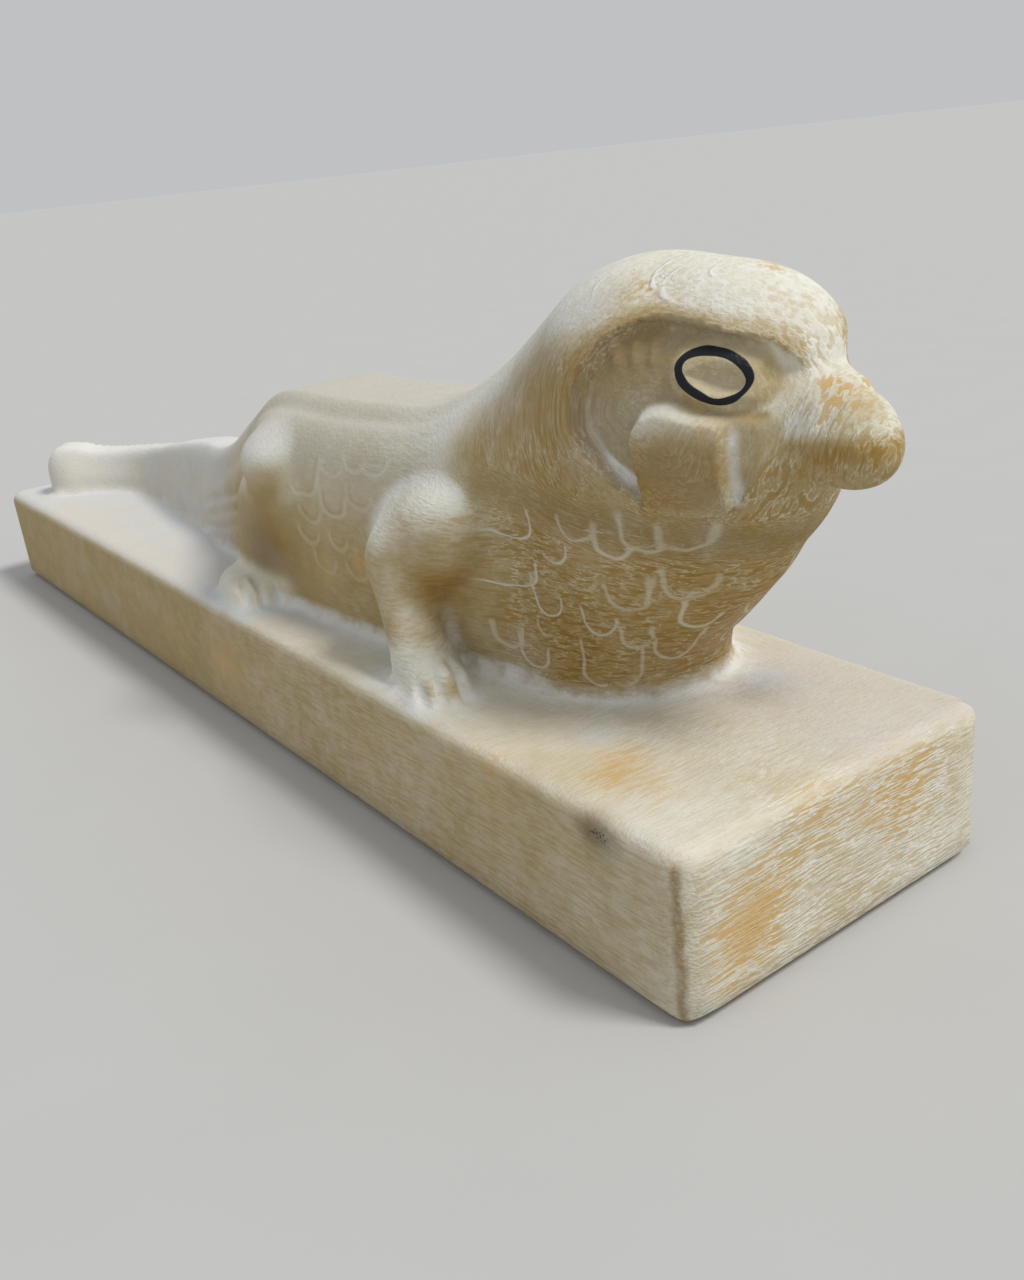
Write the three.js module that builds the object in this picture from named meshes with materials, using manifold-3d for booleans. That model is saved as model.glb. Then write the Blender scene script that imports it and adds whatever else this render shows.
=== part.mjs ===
// A crocodile with the head of a falcon, lying along a slab plinth, cast as one solid piece.
// Millimetres, +Z up, +X towards the beak. The origin is the centre of the plinth's underside.

import * as THREE from 'three';
import { mergeVertices } from 'three/addons/utils/BufferGeometryUtils.js';
import Module from 'manifold-3d';

// Driving dimensions
const figureLength = 285;      // from the beak's tip to the back of the curled tail
const beakOverhang = 1;        // how far the beak passes the plinth's front face
const tailMargin = 7;          // from the tail to the plinth's back face
const sideMargin = 3;          // from the widest foot to the plinth's side face
const plinthHeight = 26;
const plinthEdgeRadius = 3;    // rounding along the plinth's top edges
const plinthCornerRadius = 5;  // rounding of the plinth's four upright edges
const figureSink = 2;          // how deep the figure runs into the plinth, so that the two are one

// The figure is written in modules of its own: 285 of them are its whole length.
const figureModules = 285;
const modulesBehindMiddle = 140.5; // from the figure's middle to the back of its tail
const footReachModules = 28;       // from the middle line to the outside of a foot
const module = figureLength / figureModules;

// Sizes that follow from them
const plinthLength = tailMargin + figureLength - beakOverhang;
const plinthWidth = 2 * (footReachModules * module + sideMargin);
const figureMiddleX = -plinthLength / 2 + tailMargin + modulesBehindMiddle * module;

// How finely the surfaces are cut up, the steps in modules
const coarseStep = 5;
const legStep = 3.3;
const headStep = 1.95;
const sideStep = 3;
const plinthCornerSegments = 6;
const plinthEdgeSegments = 4;

const castStone = new THREE.MeshStandardMaterial({
  name: 'painted_cast_stone',
  color: 0xcdbb8e,
  roughness: 0.85,
  metalness: 0,
});

// Smooth joins of distance fields

function softMin(a, b, blend) {
  const overlap = Math.max(blend - Math.abs(a - b), 0) / blend;
  return Math.min(a, b) - overlap * overlap * blend * 0.25;
}

function softMax(a, b, blend) {
  return -softMin(-a, -b, blend);
}

function smoothRise(from, to, value) {
  return THREE.MathUtils.smoothstep(value, from, to);
}

function smoothFall(from, to, value) {
  return 1 - smoothRise(from, to, value);
}

function bump(offset) {
  return Math.exp(-offset * offset);
}

// Distance to an ellipsoid that may be pitched about Y, in degrees
function ellipsoid(p, { centre, radii, pitch = 0 }) {
  const angle = THREE.MathUtils.degToRad(pitch);
  const dx = p.x - centre[0];
  const dz = p.z - centre[2];
  const x = Math.cos(angle) * dx + Math.sin(angle) * dz;
  const y = p.y - centre[1];
  const z = Math.cos(angle) * dz - Math.sin(angle) * dx;
  const near = Math.hypot(x / radii[0], y / radii[1], z / radii[2]);
  const slope = Math.hypot(x / radii[0] ** 2, y / radii[1] ** 2, z / radii[2] ** 2);
  return near * (near - 1) / Math.max(slope, 1e-6);
}

// Distance to a round limb that tapers from one end to the other
function limb(p, { start, end, radii }) {
  const dx = end[0] - start[0];
  const dy = end[1] - start[1];
  const dz = end[2] - start[2];
  const x = p.x - start[0];
  const y = p.y - start[1];
  const z = p.z - start[2];
  const along = THREE.MathUtils.clamp((x * dx + y * dy + z * dz) / (dx * dx + dy * dy + dz * dz), 0, 1);
  const reach = Math.hypot(x - along * dx, y - along * dy, z - along * dz);
  return reach - THREE.MathUtils.lerp(radii[0], radii[1], along);
}

// A smooth line through stations of [place, value]
function smoothLine(stations) {
  const slope = stations.map((station, i) => {
    const before = stations[Math.max(i - 1, 0)];
    const after = stations[Math.min(i + 1, stations.length - 1)];
    return (after[1] - before[1]) / (after[0] - before[0]);
  });
  return (place) => {
    let i = 0;
    while (i < stations.length - 2 && place > stations[i + 1][0]) {
      i += 1;
    }
    const [x0, y0] = stations[i];
    const [x1, y1] = stations[i + 1];
    const width = x1 - x0;
    const t = THREE.MathUtils.clamp((place - x0) / width, 0, 1);
    const rise = t * t * (3 - 2 * t);
    return y0 + (y1 - y0) * rise
      + width * (slope[i] * t * (1 - t) * (1 - t) - slope[i + 1] * t * t * (1 - t));
  };
}

// The figure, in modules: x from its middle, y from its middle line, z above the plinth's top.
// The spine runs straight along X to the tail's bend, then turns towards -Y.
// Stations give a place along the spine and a value there.
const bendStart = -99;
const bendRadius = 34;
const bendSide = 3;
const bendAngle = 1.25;
const tailTip = bendStart - bendRadius * bendAngle;
const chestEnd = 84;

const spineSide = smoothLine([[-144, 3], [-96, 3], [-60, 1], [-20, 0], [30, 0], [55, 2], [75, 5], [90, 7.5],
  [110, 7.5], [150, 7.5]]);
const backHeight = smoothLine([[-150, 10], [-130, 12.5], [-112, 12.5], [-96, 13.5], [-75, 17.3], [-53, 21.5],
  [-40, 23.5], [-28, 27], [-14, 32.5], [0, 37], [20, 41], [45, 42.5], [65, 43], [90, 44]]);
const bodyHalfWidth = smoothLine([[-150, 7], [-130, 7.5], [-96, 7.5], [-60, 8], [-40, 9.5], [-28, 13],
  [-14, 17], [0, 19], [20, 19.5], [45, 19.5], [65, 20], [90, 19]]);
const backStripHalfWidth = smoothLine([[-150, 3], [-96, 3.5], [-50, 4.5], [-20, 7], [0, 9], [20, 9.5],
  [60, 9.5], [90, 9]]);

function spineCoordinates(p) {
  if (p.x >= bendStart) {
    return { along: p.x, side: p.y - spineSide(p.x) };
  }
  const dx = bendStart - p.x;
  const dy = p.y - (bendSide - bendRadius);
  return { along: bendStart - bendRadius * Math.atan2(dx, dy), side: Math.hypot(dx, dy) - bendRadius };
}

// Body and tail: a rounded section with a flat strip along the back between two low ridges
const tailRoot = -20;            // where the body's section starts to turn into the tail's
const tailRootLength = 30;
const bodySquareness = 2.6;      // power of the section's curve, 2 being round
const tailSquareness = 2.3;
const widestBelowBack = 26;      // how far under the back the body is widest
const widestRange = [-4, 14];
const tailWidest = -2;
const sectionCrown = 1.5;        // the section would rise this much past the flat strip
const sectionDepth = 30;
const ridgeHeight = 0.7;
const ridgeWidth = 1.6;
const endRounding = 8;

function bodyField(p) {
  const { along, side } = spineCoordinates(p);
  const top = backHeight(along);
  const halfWidth = bodyHalfWidth(along);
  const tailShare = THREE.MathUtils.clamp((tailRoot - along) / tailRootLength, 0, 1);
  const bodyWidest = THREE.MathUtils.clamp(top - widestBelowBack, ...widestRange);
  const widestHeight = THREE.MathUtils.lerp(bodyWidest, tailWidest, tailShare);
  const power = THREE.MathUtils.lerp(bodySquareness, tailSquareness, tailShare);
  const verticalRadius = p.z > widestHeight ? top + sectionCrown - widestHeight : sectionDepth;
  const across = Math.abs(side) / halfWidth;
  const upward = Math.abs(p.z - widestHeight) / verticalRadius;
  const near = (across ** power + upward ** power) ** (1 / power);
  const slope = Math.hypot(across / halfWidth, upward / verticalRadius) + 1e-6;
  const section = THREE.MathUtils.clamp(near * (near - 1) / slope, -halfWidth, sectionDepth);
  const ridge = ridgeHeight * bump((Math.abs(side) - backStripHalfWidth(along)) / ridgeWidth);
  const closed = softMax(section, p.z - top - ridge, ridgeWidth);
  return softMax(closed, Math.max(tailTip - along, along - chestEnd), endRounding);
}

// Chest and neck rise from the plinth and lean forward under the head
const headSide = 7.5;
const chestFoot = { start: [89, 8, -10], end: [89, 8, 6], radii: [16.6, 16.6] };
const chest = { start: [89, 8, 6], end: [104, 8, 26], radii: [16.7, 18] };
const throat = { start: [104, 8, 26], end: [115, headSide, 36.5], radii: [18, 17] };
const nape = { start: [74.5, 6.5, 26.9], end: [102.5, headSide, 45.1], radii: [18.1, 19.5] };
const chestBlend = 4;
const napeBlend = 10;

function chestField(p) {
  let field = softMin(limb(p, chestFoot), limb(p, chest), chestBlend);
  field = softMin(field, limb(p, throat), chestBlend);
  return softMin(field, limb(p, nape), napeBlend);
}

// Head: skull, brow, cere and hooked beak
const skull = { centre: [113.5, headSide, 45.4], radii: [22, 17, 18.2] };
const brow = { centre: [120.4, headSide, 53.3], radii: [13.2, 12.5, 10], pitch: -6 };
const cere = { centre: [128.5, headSide, 44.8], radii: [11, 8, 6.8], pitch: 20 };
const beak = { centre: [135.6, headSide, 42.6], radii: [9.4, 7, 6.9], pitch: -25 };
const browBlend = 2.4;
const beakBlend = 1.2;
const cereBlend = 1.6;

function headField(p) {
  const bill = softMin(ellipsoid(p, cere), ellipsoid(p, beak), beakBlend);
  return softMin(softMin(ellipsoid(p, skull), ellipsoid(p, brow), browBlend), bill, cereBlend);
}

// Signed distance to a closed outline in the side view, negative inside
function outlineDistance(outline, x, z) {
  let best = Infinity;
  let inside = false;
  for (let i = 0, j = outline.length - 1; i < outline.length; j = i, i += 1) {
    const [ax, az] = outline[j];
    const [bx, bz] = outline[i];
    const ex = bx - ax;
    const ez = bz - az;
    const t = THREE.MathUtils.clamp(((x - ax) * ex + (z - az) * ez) / (ex * ex + ez * ez), 0, 1);
    best = Math.min(best, Math.hypot(x - ax - t * ex, z - az - t * ez));
    if ((az > z) !== (bz > z) && x < ax + ex * (z - az) / ez) {
      inside = !inside;
    }
  }
  return inside ? -best : best;
}

function smoothOutline(points, segments) {
  const curve = new THREE.CatmullRomCurve3(points.map(([x, z]) => new THREE.Vector3(x, 0, z)), true);
  return curve.getPoints(segments).slice(0, -1).map((point) => [point.x, point.z]);
}

// The sunken face: a raised cheek panel and the eye's mound stand in it
const faceOutline = smoothOutline([[133.5, 50.6], [131, 53.6], [128.4, 54.6], [123.7, 55.9], [117.5, 56.4],
  [112.3, 55.5], [108.4, 52.8], [107.2, 49.5], [108.8, 46.5], [111.2, 42.5], [114, 38.3], [118, 34.6],
  [123, 35], [128, 34.6], [131, 38.8], [133.2, 44]], 48);
const cheekOutline = smoothOutline([[118, 34], [117.6, 37.9], [116.8, 41.5], [116.5, 45], [117.8, 46.9],
  [121, 47.5], [124.6, 46.2], [127.6, 44.4], [127.7, 40.5], [127.5, 36], [126, 33], [120, 32]], 40);
const faceDepth = 2;
const faceSlope = 1.1;               // half the width over which an edge of the carving falls
const faceFade = [127, 134];         // the face runs out towards the beak between these places
const faceLeftAtBeak = 0.25;         // the share of its depth that is left there
const faceSide = [3.5, 6.5];         // the carving begins between these distances from the head's middle
const faceFoot = [28, 33];           // and above these heights
const faceBack = 100;
const eyeCentre = [126.5, 51.1];
const eyeMound = { radii: [7, 5.6], from: 0.75, to: 1.15, height: 0.75 };
const eyeDish = { radii: [4.4, 3.2], from: 0.5, to: 1.1, depth: 1.1 };

function eyeRing(p, { radii, from, to }) {
  return smoothFall(from, to, Math.hypot((p.x - eyeCentre[0]) / radii[0], (p.z - eyeCentre[1]) / radii[1]));
}

function faceCarving(p) {
  const gate = smoothRise(...faceSide, Math.abs(p.y - headSide)) * smoothRise(...faceFoot, p.z);
  if (gate === 0 || p.x < faceBack) {
    return 0;
  }
  const face = smoothFall(-faceSlope, faceSlope, outlineDistance(faceOutline, p.x, p.z));
  const cheek = smoothFall(-faceSlope, faceSlope, outlineDistance(cheekOutline, p.x, p.z));
  const fade = 1 - (1 - faceLeftAtBeak) * smoothRise(...faceFade, p.x);
  const sunk = faceDepth * face * (1 - cheek) * fade;
  return gate * (sunk * (1 - eyeMound.height * eyeRing(p, eyeMound)) + eyeDish.depth * eyeRing(p, eyeDish));
}

// Legs. Here y counts outwards from the middle line, and the two sides differ a little.
const legSides = [
  { sign: -1, shift: 0, shoulderOut: 14, elbowOut: 16, wristOut: 19.5, kneeOut: 12.5 },
  { sign: 1, shift: 1, shoulderOut: 19, elbowOut: 20, wristOut: 21, kneeOut: 9 },
];
const limbBlend = 3;
const kneeBlend = 4;
const forefoot = { limb: { start: [70, 18.5, 0], end: [78.5, 21.5, 0.5], radii: [6.3, 6.3] }, tip: [81, 22.4],
  height: 6 };
const hindfoot = { limb: { start: [0, 18, -1], end: [14, 22, -0.5], radii: [6.3, 6.3] }, tip: [17, 22.8],
  height: 4.6 };
const thigh = { centre: [16, 13, 16], radii: [14, 10, 21] };

function legsField(p, { sign, shift, shoulderOut, elbowOut, wristOut, kneeOut }) {
  const q = { x: p.x, y: sign * p.y - shift, z: p.z };
  const shoulder = ellipsoid(q, { centre: [72, shoulderOut, 22.3], radii: [12.5, 7.8, 8.8], pitch: 12 });
  const forearm = limb(q, { start: [62.5, elbowOut, 17], end: [71, wristOut, 4], radii: [6.4, 5.8] });
  const foreleg = softMin(softMin(shoulder, forearm, limbBlend), footField(q, forefoot), limbBlend);
  const knee = ellipsoid(q, { centre: [18, kneeOut, 28.5], radii: [10.5, 9.5, 9] });
  const hindleg = softMin(softMin(ellipsoid(q, thigh), knee, kneeBlend), footField(q, hindfoot), limbBlend);
  return Math.min(foreleg, hindleg);
}

// A foot, flattened from above, with two grooves between its toes
const toeSplay = 0.3;
const toeSpacing = 2;
const toeGroove = { width: 0.8, depth: 0.9, length: 8 };

function footField(q, foot) {
  const flat = softMax(limb(q, foot.limb), q.z - foot.height, limbBlend);
  const along = q.x - foot.tip[0];
  const across = q.y - foot.tip[1] - toeSplay * along;
  const reach = smoothRise(-toeGroove.length, 0, along);
  return flat + toeGroove.depth * reach * bump((Math.abs(across) - toeSpacing) / toeGroove.width);
}

// At its foot the figure spreads a little, and it runs into the plinth
const footFlare = 1.2;
const flareHeight = 1.4;
const bodyBlend = 8;
const neckBlend = 6;
const legBlend = 2.5;
const sunkLevel = -figureSink / module;

function figureField(p) {
  let field = softMin(bodyField(p), chestField(p), bodyBlend);
  field = softMin(field, headField(p), neckBlend);
  for (const side of legSides) {
    field = softMin(field, legsField(p, side), legBlend);
  }
  field += faceCarving(p);
  field -= footFlare * Math.exp(-Math.max(p.z, 0) / flareHeight);
  return Math.max(field, sunkLevel - p.z);
}

// Grid lines from a start through stretches of [end, step]
function gridLines(start, stretches) {
  const lines = [start];
  for (const [end, step] of stretches) {
    const from = lines[lines.length - 1];
    const count = Math.max(Math.round((end - from) / step), 1);
    for (let i = 1; i <= count; i += 1) {
      lines.push(from + (end - from) * i / count);
    }
  }
  return lines;
}

const boxCorners = [0, 1, 2, 3, 4, 5, 6, 7].map((n) => [n & 1, (n >> 1) & 1, (n >> 2) & 1]);
const boxEdges = [];
for (let a = 0; a < 8; a += 1) {
  for (const bit of [1, 2, 4]) {
    if ((a & bit) === 0) {
      boxEdges.push([a, a | bit]);
    }
  }
}

const gridDirections = [[1, 0, 0], [0, 1, 0], [0, 0, 1]];

// Where the four corners of a grid square change sign crosswise, the surface would touch itself.
// The corner nearest to the surface changes side until no such square is left.
function settleSaddles(values, size, at) {
  let changed = true;
  while (changed) {
    changed = false;
    for (let axis = 0; axis < 3; axis += 1) {
      const u = gridDirections[axis];
      const v = gridDirections[(axis + 1) % 3];
      for (let i = 0; i < size[0] - u[0] - v[0]; i += 1) {
        for (let j = 0; j < size[1] - u[1] - v[1]; j += 1) {
          for (let k = 0; k < size[2] - u[2] - v[2]; k += 1) {
            const square = [at(i, j, k), at(i + u[0], j + u[1], k + u[2]),
              at(i + u[0] + v[0], j + u[1] + v[1], k + u[2] + v[2]), at(i + v[0], j + v[1], k + v[2])];
            const inside = square.map((n) => values[n] < 0);
            if (inside[0] !== inside[1] && inside[0] === inside[2] && inside[1] === inside[3]) {
              const nearest = square.reduce((a, b) => (Math.abs(values[a]) < Math.abs(values[b]) ? a : b));
              values[nearest] = values[nearest] < 0 ? 1e-3 : -1e-3;
              changed = true;
            }
          }
        }
      }
    }
  }
}

// Wraps the field's zero surface in quads, one vertex for each grid box that the surface crosses
function wrapField(field, xs, ys, zs) {
  const size = [xs.length, ys.length, zs.length];
  const at = (i, j, k) => (i * size[1] + j) * size[2] + k;
  const values = new Float64Array(size[0] * size[1] * size[2]);
  for (let i = 0; i < size[0]; i += 1) {
    for (let j = 0; j < size[1]; j += 1) {
      for (let k = 0; k < size[2]; k += 1) {
        values[at(i, j, k)] = field({ x: xs[i], y: ys[j], z: zs[k] });
      }
    }
  }
  settleSaddles(values, size, at);
  const positions = [];
  const vertexOf = new Int32Array(values.length).fill(-1);
  for (let i = 0; i < size[0] - 1; i += 1) {
    for (let j = 0; j < size[1] - 1; j += 1) {
      for (let k = 0; k < size[2] - 1; k += 1) {
        const corner = boxCorners.map(([a, b, c]) => values[at(i + a, j + b, k + c)]);
        const sum = [0, 0, 0];
        let crossings = 0;
        for (const [a, b] of boxEdges) {
          if ((corner[a] < 0) === (corner[b] < 0)) {
            continue;
          }
          const t = corner[a] / (corner[a] - corner[b]);
          for (let axis = 0; axis < 3; axis += 1) {
            sum[axis] += THREE.MathUtils.lerp(boxCorners[a][axis], boxCorners[b][axis], t);
          }
          crossings += 1;
        }
        if (crossings > 0) {
          vertexOf[at(i, j, k)] = positions.length / 3;
          positions.push(
            THREE.MathUtils.lerp(xs[i], xs[i + 1], sum[0] / crossings),
            THREE.MathUtils.lerp(ys[j], ys[j + 1], sum[1] / crossings),
            THREE.MathUtils.lerp(zs[k], zs[k + 1], sum[2] / crossings),
          );
        }
      }
    }
  }
  const triangles = [];
  for (let i = 1; i < size[0] - 1; i += 1) {
    for (let j = 1; j < size[1] - 1; j += 1) {
      for (let k = 1; k < size[2] - 1; k += 1) {
        const here = values[at(i, j, k)] < 0;
        for (let axis = 0; axis < 3; axis += 1) {
          const [a, b, c] = gridDirections[axis];
          if (here === values[at(i + a, j + b, k + c)] < 0) {
            continue;
          }
          const u = gridDirections[(axis + 1) % 3];
          const v = gridDirections[(axis + 2) % 3];
          const ring = [[1, 1], [0, 1], [0, 0], [1, 0]].map(([m, n]) => vertexOf[
            at(i - m * u[0] - n * v[0], j - m * u[1] - n * v[1], k - m * u[2] - n * v[2])]);
          if (!here) {
            ring.reverse();
          }
          triangles.push(...splitQuad(positions, ring));
        }
      }
    }
  }
  return { positions, triangles };
}

// Cuts a quad along its shorter diagonal
function splitQuad(positions, [a, b, c, d]) {
  const gap = (m, n) => Math.hypot(positions[3 * m] - positions[3 * n],
    positions[3 * m + 1] - positions[3 * n + 1], positions[3 * m + 2] - positions[3 * n + 2]);
  return gap(a, c) < gap(b, d) ? [a, b, c, a, c, d] : [b, c, d, b, d, a];
}

// The grid is fine round the legs and finest round the head
const gridBack = -143;
const gridFront = 148;
const gridSides = [-35, 36];
const gridTop = 68;
const hindLegGrid = [-4, 32];
const foreLegGrid = [56, 104];
const headGridFoot = 30;

function figureGeometry() {
  const xs = gridLines(gridBack, [[hindLegGrid[0], coarseStep], [hindLegGrid[1], legStep],
    [foreLegGrid[0], coarseStep], [foreLegGrid[1], legStep], [gridFront, headStep]]);
  const ys = gridLines(gridSides[0], [[gridSides[1], sideStep]]);
  const zs = gridLines(sunkLevel - 2, [[sunkLevel - 1, 1], [headGridFoot, sideStep], [gridTop, headStep]]);
  const { positions, triangles } = wrapField(figureField, xs, ys, zs);
  const geometry = new THREE.BufferGeometry();
  geometry.setAttribute('position', new THREE.Float32BufferAttribute(positions, 3));
  geometry.setIndex(triangles);
  geometry.scale(module, module, module);
  geometry.translate(figureMiddleX, 0, plinthHeight);
  return geometry;
}

// The slab: upright edges rounded, top edges rolled over by an edge radius, underside flat and square
function plinthGeometry() {
  const rings = [];
  const ring = (inset, height) => {
    const radius = Math.max(plinthCornerRadius - inset, 0.5);
    const points = [];
    for (const [sx, sy, turn] of [[1, 1, 0], [-1, 1, 1], [-1, -1, 2], [1, -1, 3]]) {
      const cx = sx * (plinthLength / 2 - inset - radius);
      const cy = sy * (plinthWidth / 2 - inset - radius);
      for (let s = 0; s <= plinthCornerSegments; s += 1) {
        const angle = (turn + s / plinthCornerSegments) * Math.PI / 2;
        points.push([cx + radius * Math.cos(angle), cy + radius * Math.sin(angle), height]);
      }
    }
    rings.push(points);
  };
  ring(0, 0);
  for (let s = 0; s <= plinthEdgeSegments; s += 1) {
    const angle = s / plinthEdgeSegments * Math.PI / 2;
    ring(plinthEdgeRadius * (1 - Math.cos(angle)), plinthHeight - plinthEdgeRadius * (1 - Math.sin(angle)));
  }
  const around = rings[0].length;
  const positions = rings.flat(2);
  const triangles = [];
  for (let r = 0; r < rings.length - 1; r += 1) {
    for (let s = 0; s < around; s += 1) {
      const next = (s + 1) % around;
      const low = r * around;
      const high = low + around;
      triangles.push(low + s, low + next, high + next, low + s, high + next, high + s);
    }
  }
  const last = (rings.length - 1) * around;
  const capAcross = (start, facingUp) => {
    for (let s = 1; s < around - 1; s += 1) {
      triangles.push(...(facingUp ? [start, start + s, start + s + 1] : [start, start + s + 1, start + s]));
    }
  };
  capAcross(0, false);
  capAcross(last, true);
  const geometry = new THREE.BufferGeometry();
  geometry.setAttribute('position', new THREE.Float32BufferAttribute(positions, 3));
  geometry.setIndex(triangles);
  return geometry;
}

const wasm = await Module();
wasm.setup();

function toSolid(geometry) {
  const merged = mergeVertices(geometry);
  return new wasm.Manifold(new wasm.Mesh({
    numProp: 3,
    vertProperties: new Float32Array(merged.attributes.position.array),
    triVerts: new Uint32Array(merged.index.array),
  }));
}

function toGeometry(solid) {
  const mesh = solid.getMesh();
  const geometry = new THREE.BufferGeometry();
  geometry.setAttribute('position', new THREE.BufferAttribute(mesh.vertProperties, 3));
  geometry.setIndex(new THREE.BufferAttribute(mesh.triVerts, 1));
  return geometry;
}

const figureOnPlinth = new THREE.Mesh(
  toGeometry(toSolid(plinthGeometry()).add(toSolid(figureGeometry()))),
  castStone,
);
figureOnPlinth.name = 'figure_on_plinth';

const part = new THREE.Group();
part.add(figureOnPlinth);

export default part;
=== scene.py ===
"""A cast figure of a crocodile with a falcon's head, lying on a slab plinth, washed cream over ochre.

The whole casting is one closed skin. Rounded forms are joined as distance fields, the carving is
sunk into them, and the result is wrapped in quads. Places are in millimetres until the skin is
made: x along the figure from its middle, y across it, z up from the plinth's top.
"""

import math

import bpy
import numpy as np
from mathutils import Matrix, Vector


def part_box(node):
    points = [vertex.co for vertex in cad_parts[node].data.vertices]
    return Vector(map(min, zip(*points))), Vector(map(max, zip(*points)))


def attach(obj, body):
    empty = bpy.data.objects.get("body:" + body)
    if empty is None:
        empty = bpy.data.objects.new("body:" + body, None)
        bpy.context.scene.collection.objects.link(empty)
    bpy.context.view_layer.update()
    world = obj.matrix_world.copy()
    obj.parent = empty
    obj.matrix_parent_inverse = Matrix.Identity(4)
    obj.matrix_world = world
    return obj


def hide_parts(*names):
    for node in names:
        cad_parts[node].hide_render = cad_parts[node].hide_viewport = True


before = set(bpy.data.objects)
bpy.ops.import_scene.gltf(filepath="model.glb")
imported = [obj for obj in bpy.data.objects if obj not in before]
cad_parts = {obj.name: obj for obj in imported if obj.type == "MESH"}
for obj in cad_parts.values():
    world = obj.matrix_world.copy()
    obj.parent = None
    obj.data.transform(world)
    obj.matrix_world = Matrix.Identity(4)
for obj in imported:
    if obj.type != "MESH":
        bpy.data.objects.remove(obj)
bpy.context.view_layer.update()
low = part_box("figure_on_plinth")[0]

MILLIMETRE = 0.001
PLINTH_LENGTH, PLINTH_WIDTH = round(-2 * low[0] / MILLIMETRE, 1), round(-2 * low[1] / MILLIMETRE, 1)
PLINTH_HEIGHT = 26.0
PLINTH_EDGE_RADIUS = 2.5
PLINTH_CORNER_RADIUS = 4.4
PLINTH_FOOT_RADIUS = 0.7
PLINTH_DIP = 1.15           # how far the top sinks towards its far front corner
FIGURE_MIDDLE_X = 2.0       # from the plinth's middle to the figure's
HEAD_SIDE = 7.5             # the head lies this far to the far side


# Smooth joins and steps

def soft_min(a, b, blend):
    overlap = np.maximum(blend - np.abs(a - b), 0) / blend
    return np.minimum(a, b) - overlap * overlap * (blend * 0.25)


def soft_max(a, b, blend):
    return -soft_min(-a, -b, blend)


def rise(start, end, value):
    """Climbs smoothly from 0 at start to 1 at end."""
    t = np.clip((value - start) / (end - start), 0, 1)
    return t * t * (3 - 2 * t)


def fall(start, end, value):
    return 1 - rise(start, end, value)


def bump(offset):
    return np.exp(-offset * offset)


def towards(value, target, share):
    return value + (target - value) * share


def within(value, start, end):
    return (value > start) & (value < end)


def most(*shares):
    """The largest of several shares at each point."""
    return np.maximum.reduce(shares)


def spot(place, centre, reach):
    """A soft round spot, 1 in its centre."""
    return bump(np.sqrt(sum((v - c) ** 2 for v, c in zip(place, centre))) / reach)


# Distances to simple forms

def ellipsoid(p, centre, radii, pitch=0.0):
    c, s = math.cos(math.radians(pitch)), math.sin(math.radians(pitch))
    dx, dy, dz = p[0] - centre[0], p[1] - centre[1], p[2] - centre[2]
    x, y, z = (c * dx + s * dz) / radii[0], dy / radii[1], (c * dz - s * dx) / radii[2]
    near = np.sqrt(x * x + y * y + z * z)
    slope = np.sqrt((x / radii[0]) ** 2 + (y / radii[1]) ** 2 + (z / radii[2]) ** 2)
    return near * (near - 1) / np.maximum(slope, 1e-6)


def limb(p, start, end, start_radius, end_radius):
    way = [end[i] - start[i] for i in range(3)]
    d = [p[i] - start[i] for i in range(3)]
    along = (d[0] * way[0] + d[1] * way[1] + d[2] * way[2]) / sum(w * w for w in way)
    along = np.clip(along, 0, 1)
    reach = np.sqrt(sum((d[i] - along * way[i]) ** 2 for i in range(3)))
    return reach - towards(start_radius, end_radius, along)


def rounded_corner(a, b, radius):
    """Distance to a round corner, from how far a point lies past the corner's centre both ways."""
    return np.hypot(np.maximum(a, 0), np.maximum(b, 0)) + np.minimum(np.maximum(a, b), 0) - radius


def smooth_line(stations):
    """A smooth line through stations of (place, value)."""
    places, values = np.array(stations, float).T
    last = len(places) - 1
    before, after = np.arange(-1, last).clip(0), np.arange(1, last + 2).clip(max=last)
    tilts = (values[after] - values[before]) / (places[after] - places[before])

    def at(place):
        i = np.clip(np.searchsorted(places, place) - 1, 0, last - 1)
        width = places[i + 1] - places[i]
        t = np.clip((place - places[i]) / width, 0, 1)
        level = values[i] + (values[i + 1] - values[i]) * t * t * (3 - 2 * t)
        return level + width * t * (1 - t) * (tilts[i] * (1 - t) - tilts[i + 1] * t)

    return at


def smooth_outline(points, steps=4):
    """A closed smooth outline through a few points in the side view."""
    p = np.array(points, float)
    before, after, beyond = np.roll(p, 1, 0), np.roll(p, -1, 0), np.roll(p, -2, 0)
    outline = []
    for t in np.arange(steps) / steps:
        bend = (2 * before - 5 * p + 4 * after - beyond) * t ** 2
        twist = (3 * p - before - 3 * after + beyond) * t ** 3
        outline.append(0.5 * (2 * p + (after - before) * t + bend + twist))
    return np.stack(outline, 1).reshape(-1, 2)


def path_distance(points, x, z):
    """Distance to an open line of points in the side view."""
    best = np.full(x.shape, 1e9)
    for (ax, az), (bx, bz) in zip(points[:-1], points[1:]):
        ex, ez = bx - ax, bz - az
        t = np.clip(((x - ax) * ex + (z - az) * ez) / (ex * ex + ez * ez), 0, 1)
        best = np.minimum(best, (x - ax - t * ex) ** 2 + (z - az - t * ez) ** 2)
    return np.sqrt(best)


def outline_distance(outline, x, z):
    """Signed distance to a closed outline, negative inside."""
    closed = np.concatenate([outline, outline[:1]])
    inside = np.zeros(x.shape, bool)
    for (ax, az), (bx, bz) in zip(closed[:-1], closed[1:]):
        if az != bz:
            inside ^= ((az > z) != (bz > z)) & (x < ax + (bx - ax) * (z - az) / (bz - az))
    return np.where(inside, -1, 1) * path_distance(closed, x, z)


CORNERS = np.array([(i, j, k) for i in (0, 1) for j in (0, 1) for k in (0, 1)])


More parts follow.
